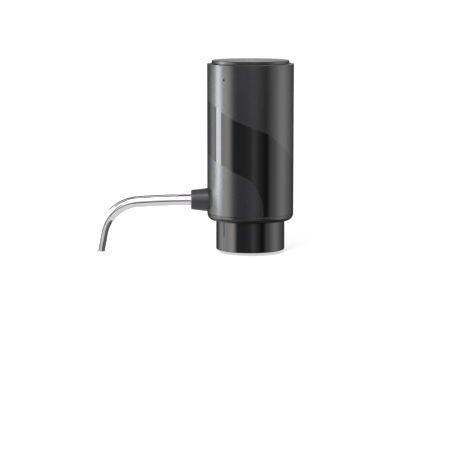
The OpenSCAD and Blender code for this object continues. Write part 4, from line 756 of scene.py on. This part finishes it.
def make_button():
    """The button's cap and skirt, the post that reaches the switch, and the snap legs."""
    root, foot, flat_in = 0.6, 0.2, 1
    cap_z = TOP_Z - BUTTON_TOP_T
    skirt_z = RIM_Z - DECK_BELOW_RIM + BUTTON_BOTTOM_GAP + PRESS
    skirt_ir = BUTTON_R - SKIRT_T
    cap = rounded([
        (0, cap_z), (skirt_ir, cap_z, root), (skirt_ir, skirt_z, foot), (BUTTON_R, skirt_z, foot),
        (BUTTON_R, TOP_Z, BUTTON_EDGE_R), (BUTTON_R - flat_in, TOP_Z), (0, TOP_Z)])
    post_z, top_z = cap_z - POST_LEN + FIT_GAP, cap_z + SINK
    post = [(0, post_z), (POST_D / 2, post_z), (POST_D / 2, top_z), (0, top_z)]
    leg_in, leg_out = LEG_PLACE_R - LEG_T / 2, LEG_PLACE_R + LEG_T / 2
    foot_z, hook_r = BUTTON_LO.z, leg_out + HOOK_REACH
    leg = prism([
        (leg_in, top_z), (leg_in, foot_z), (leg_out, foot_z), (hook_r, foot_z + HOOK_LEAD_IN),
        (hook_r, foot_z + HOOK_H), (leg_out, foot_z + HOOK_H), (leg_out, top_z)], -LEG_W / 2, LEG_W / 2)
    legs = [turned(leg, a) for a in HOOK_ANGLES]
    make("button", *joined(revolve(cap, 256), revolve(post, 48), *legs),
         "button", ["top_button"], "button_finish", sharp=36)


def make_spring():
    """The spring under the button. Its end turns lie flat."""
    steps, sides = 48 * SPRING_TURNS, 12
    wire_r = SPRING_WIRE_D / 2
    coil_r, foot_z = SPRING_HI.x - wire_r, SPRING_LO.z + wire_r
    height = SPRING_HI.z - SPRING_LO.z
    rings = []
    for i in range(steps + 1):
        turn = SPRING_TURNS * i / steps
        up = min(max((turn - SPRING_FLAT) / (SPRING_TURNS - 2 * SPRING_FLAT), 0), 1)
        z = foot_z + (height - SPRING_WIRE_D) * up
        c, s = math.cos(2 * math.pi * turn), math.sin(2 * math.pi * turn)
        rings.append([((coil_r + x) * c, (coil_r + x) * s, z + y) for x, y in circle(wire_r, sides)])
    verts, faces = skin(rings)
    faces += [list(range(sides)), list(range(steps * sides, (steps + 1) * sides))]
    spring = make("spring", verts, faces, "housing", ["button_spring"], "spring_steel", sharp=50)
    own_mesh(spring)


make_button()
make_spring()


# Camera

# Place and pitch at which the photograph was taken, in millimetres and degrees
CAMERA_PLACE = Vector((-15.565, -1160.19, RIM_Z + 58.47)) * MM
CAMERA_PITCH = 7.75
camera_data = bpy.data.cameras.new("camera")
camera_data.sensor_width = 36
camera_data.lens = 152
camera_data.clip_start, camera_data.clip_end = 0.05, 20
camera = bpy.data.objects.new("camera", camera_data)
camera.location = CAMERA_PLACE
camera.rotation_euler = (math.radians(90 - CAMERA_PITCH), 0, 0)
bpy.context.scene.collection.objects.link(camera)
bpy.context.scene.camera = camera
bpy.context.scene.view_settings.view_transform = "Standard"


# Stage and light

def new_tree(holder):
    """The node tree of a new material or world."""
    holder.use_nodes = True
    return holder.node_tree


def emitter(name, colour, strength):
    material = bpy.data.materials.new(name)
    tree = new_tree(material)
    tree.nodes.remove(tree.nodes["Principled BSDF"])
    glow = tree.nodes.new("ShaderNodeEmission")
    glow.inputs["Color"].default_value = (*colour, 1)
    glow.inputs["Strength"].default_value = strength
    tree.links.new(glow.outputs[0], tree.nodes["Material Output"].inputs["Surface"])
    return material


def stage_mesh(name, verts, faces, material):
    mesh = bpy.data.meshes.new(name)
    mesh.from_pydata(verts, [], faces)
    mesh.materials.append(material)
    obj = bpy.data.objects.new(name, mesh)
    bpy.context.scene.collection.objects.link(obj)
    return obj


def reflector(obj):
    """A card that only reflections see."""
    obj.visible_camera = obj.visible_diffuse = obj.visible_shadow = False
    obj.visible_transmission = obj.visible_volume_scatter = False


# The direction in which the camera sees the sleeve's middle, and how far that turns to its sides
VIEW_ANGLE, VIEW_SPREAD = -0.8, 1.3


def seen_at(angle, radius):
    """Angle on a round wall of what the sleeve shows at an angle, both from the front."""
    view = VIEW_ANGLE - VIEW_SPREAD * math.sin(math.radians(angle))
    away = 2 * angle - view
    return away - math.degrees(math.asin(BODY_R * MM * math.sin(math.radians(away - angle)) / radius))


def surround(name, radius, z0, z1, columns):
    """An upright curved card round the housing. Each column is the angle at which the sleeve shows it,
    0 at the front and positive to the right, its brightness and its tint, which run into the next."""
    widest = 2
    stops = []
    for (a0, level0, tint0), (a1, level1, tint1) in zip(columns, columns[1:]):
        steps = max(1, math.ceil((a1 - a0) / widest))
        for part in (i / steps for i in range(steps)):
            shade = [level0 * p * (1 - part) + level1 * q * part for p, q in zip(tint0, tint1)]
            stops.append((a0 + (a1 - a0) * part, shade))
    a, level, tint = columns[-1]
    stops.append((a, [level * p for p in tint]))
    verts = [on_round(radius, seen_at(a, radius), z) for a, _ in stops for z in (z0, z1)]
    faces = [(2 * i, 2 * i + 2, 2 * i + 3, 2 * i + 1) for i in range(len(stops) - 1)]
    material = emitter(name, PLAIN, 1)
    tree = material.node_tree
    attribute = tree.nodes.new("ShaderNodeAttribute")
    attribute.attribute_name = "glow"
    tree.links.new(attribute.outputs["Color"], tree.nodes["Emission"].inputs["Color"])
    obj = stage_mesh(name, verts, faces, material)
    layer = obj.data.color_attributes.new("glow", "FLOAT_COLOR", "POINT")
    for i, item in enumerate(layer.data):
        item.color = (*stops[i // 2][1], 1)
    reflector(obj)


def panel(name, x, near, far, strength, colour=(1, 1, 1)):
    """A flat card between two x places, from one (y, z) edge to another, in metres."""
    verts = [(x[0], *near), (x[1], *near), (x[1], *far), (x[0], *far)]
    reflector(stage_mesh(name, verts, [(0, 1, 2, 3)], emitter(name, colour, strength)))


PLAIN, COOL, WARM = (1, 1, 1), (0.92, 0.96, 1.02), (1.02, 1, 0.98)


def left_side(strip):
    """From behind round to the front left: a dark flag, then a soft light with a strip light in it."""
    return [
        (-93, 0.15, PLAIN), (-78, 0.1, COOL), (-69, 0.33, COOL), (-62.5, 1.5, WARM),
        (-57.5, 2.7, WARM), (-51.8, 2.9, WARM), (-51.6, strip, COOL), (-42.9, strip, COOL),
        (-42.7, 3.7, WARM), (-34.5, 5, WARM), (-31, 4.8, WARM), (-28, 3.1, WARM),
        (-25, 1.1, PLAIN), (-22.5, 0.33, COOL), (-17.5, 0.3, COOL)]


# Across the front: dim, with a low gleam right of the middle
FRONT = [(-19, 0.31, COOL), (-12.5, 0.28, COOL), (-9, 0.31, COOL), (-4.5, 0.37, PLAIN),
         (-0.5, 0.5, PLAIN), (3, 0.9, PLAIN), (6, 0.8, PLAIN), (11, 0.38, PLAIN), (16, 0.2, PLAIN)]


def right_side(share):
    """From the front round behind: a dark flag, a soft light and a dark flag again."""
    return [(angle, level * share, PLAIN) for angle, level in (
        (15.5, 0.2), (19.5, 0.06), (22, 0.15), (24, 0.42), (26, 0.9), (28, 1.15), (33, 1.45),
        (37.5, 2.4), (42.5, 3), (48.5, 2.7), (55, 1.4), (62.5, 0.6), (72.5, 0.12), (93, 0.12))]


# The round cards: their radii, and the heights between which the collar and the sleeve show them
NEAR, FAR = 0.25, 1.0
FOOT, SPLIT_LEFT, SPLIT_RIGHT, BROW = -0.14, -0.004, -0.0125, 0.132
# Strength of the strip light and share of the right light that the collar and the sleeve show
COLLAR_STRIP, SLEEVE_STRIP = 3.6, 14
COLLAR_SHARE, SLEEVE_SHARE = 0.8, 1
surround("surround_low_left", NEAR, FOOT, SPLIT_LEFT, left_side(COLLAR_STRIP))
surround("surround_left", NEAR, SPLIT_LEFT, BROW, left_side(SLEEVE_STRIP))
surround("surround_front", FAR, -0.5, 0.07, FRONT)
surround("surround_low_right", NEAR, FOOT, SPLIT_RIGHT, right_side(COLLAR_SHARE))
surround("surround_right", NEAR, SPLIT_RIGHT, BROW, right_side(SLEEVE_SHARE))
surround("flag_rear_left", NEAR - 0.002, 0.104, 0.6, [(a, 0.2, PLAIN) for a in (-86, -72, -59)])

# The flat cards: softboxes over and behind, the table, and dark flags that the spout, boot and ring
# show
DARK = 0.12
panel("softbox", (-0.8, 0.6), (-1.8, 0.35), (-0.37, 1.0), 1.35)
panel("light_boot", (-0.5, 0.05), (-0.9, 0.75), (-0.38, 0.985), 3, (0.98, 0.99, 1.03))
panel("rear", (-0.06, 0.08), (0.245, 0.133), (0.245, 0.25), 0.8)
panel("flag_over", (-1, -0.05), (-0.36, 1.0), (0.1, 1.0), DARK, (0.9, 0.95, 1.0))
panel("flag_boot", (-0.09, -0.03), (0.1, 1.0), (1.2, 0.9), DARK)
panel("light_over", (-0.05, 1), (-0.36, 1.0), (0.05, 1.0), 6)
panel("flag_below", (-0.03, 0.09), (-0.07, -0.035), (0.07, -0.035), DARK)
panel("flag_spout", (-0.165, -0.05), (-0.99, -0.62), (-0.99, -0.15), DARK)
panel("table", (-1, 1), (-0.85, -0.5), (1, -0.5), 0.72, (1.0, 0.98, 0.96))


def make_world():
    """White to the camera, to mirrors and through clear pieces; plain light on the object."""
    plain_light, white = 0.5, 1.0
    world = bpy.data.worlds.new("world")
    bpy.context.scene.world = world
    tree = new_tree(world)
    rays = tree.nodes.new("ShaderNodeLightPath")
    seen = rays.outputs["Is Camera Ray"]
    for kind in ("Is Glossy Ray", "Is Transmission Ray"):
        either = tree.nodes.new("ShaderNodeMath")
        either.operation = "MAXIMUM"
        tree.links.new(seen, either.inputs[0])
        tree.links.new(rays.outputs[kind], either.inputs[1])
        seen = either.outputs[0]
    level = tree.nodes.new("ShaderNodeMapRange")
    level.inputs["To Min"].default_value = plain_light
    level.inputs["To Max"].default_value = white
    background = tree.nodes["Background"]
    background.inputs["Color"].default_value = (1, 1, 1, 1)
    tree.links.new(seen, level.inputs["Value"])
    tree.links.new(level.outputs[0], background.inputs["Strength"])


def make_floor():
    """A plain pale floor just under the part's lowest point, lifted towards white for the camera."""
    half, gap, grey, lifted = 40.0, 0.0003, 0.82, 0.62
    material = bpy.data.materials.new("floor")
    tree = new_tree(material)
    tree.nodes.remove(tree.nodes["Principled BSDF"])
    matt = tree.nodes.new("ShaderNodeBsdfDiffuse")
    matt.inputs["Color"].default_value = (grey, grey, grey, 1)
    glow = tree.nodes.new("ShaderNodeEmission")
    lift = tree.nodes.new("ShaderNodeMath")
    lift.operation = "MULTIPLY"
    lift.inputs[1].default_value = lifted
    rays = tree.nodes.new("ShaderNodeLightPath")
    tree.links.new(rays.outputs["Is Camera Ray"], lift.inputs[0])
    tree.links.new(lift.outputs[0], glow.inputs["Strength"])
    both = tree.nodes.new("ShaderNodeAddShader")
    tree.links.new(matt.outputs[0], both.inputs[0])
    tree.links.new(glow.outputs[0], both.inputs[1])
    tree.links.new(both.outputs[0], tree.nodes["Material Output"].inputs["Surface"])
    z = cad_lo.z - gap
    corners = [(x * half, y * half, z) for x, y in ((-1, -1), (1, -1), (1, 1), (-1, 1))]
    floor = stage_mesh("floor", corners, [(0, 1, 2, 3)], material)
    floor.visible_glossy = False


def make_lamp():
    """The one lamp: a round soft light from the upper left, which mirrors don't show."""
    place, target = Vector((-0.5, -1.2, 0.8)), Vector((0, 0, 0.05))
    data = bpy.data.lights.new("key", "AREA")
    data.shape = "DISK"
    data.size = 0.5
    data.energy = 14
    lamp = bpy.data.objects.new("key", data)
    lamp.location = place
    lamp.rotation_euler = (target - place).to_track_quat("-Z", "Y").to_euler()
    lamp.visible_camera = False
    lamp.visible_glossy = False
    bpy.context.scene.collection.objects.link(lamp)


make_world()
make_floor()
make_lamp()
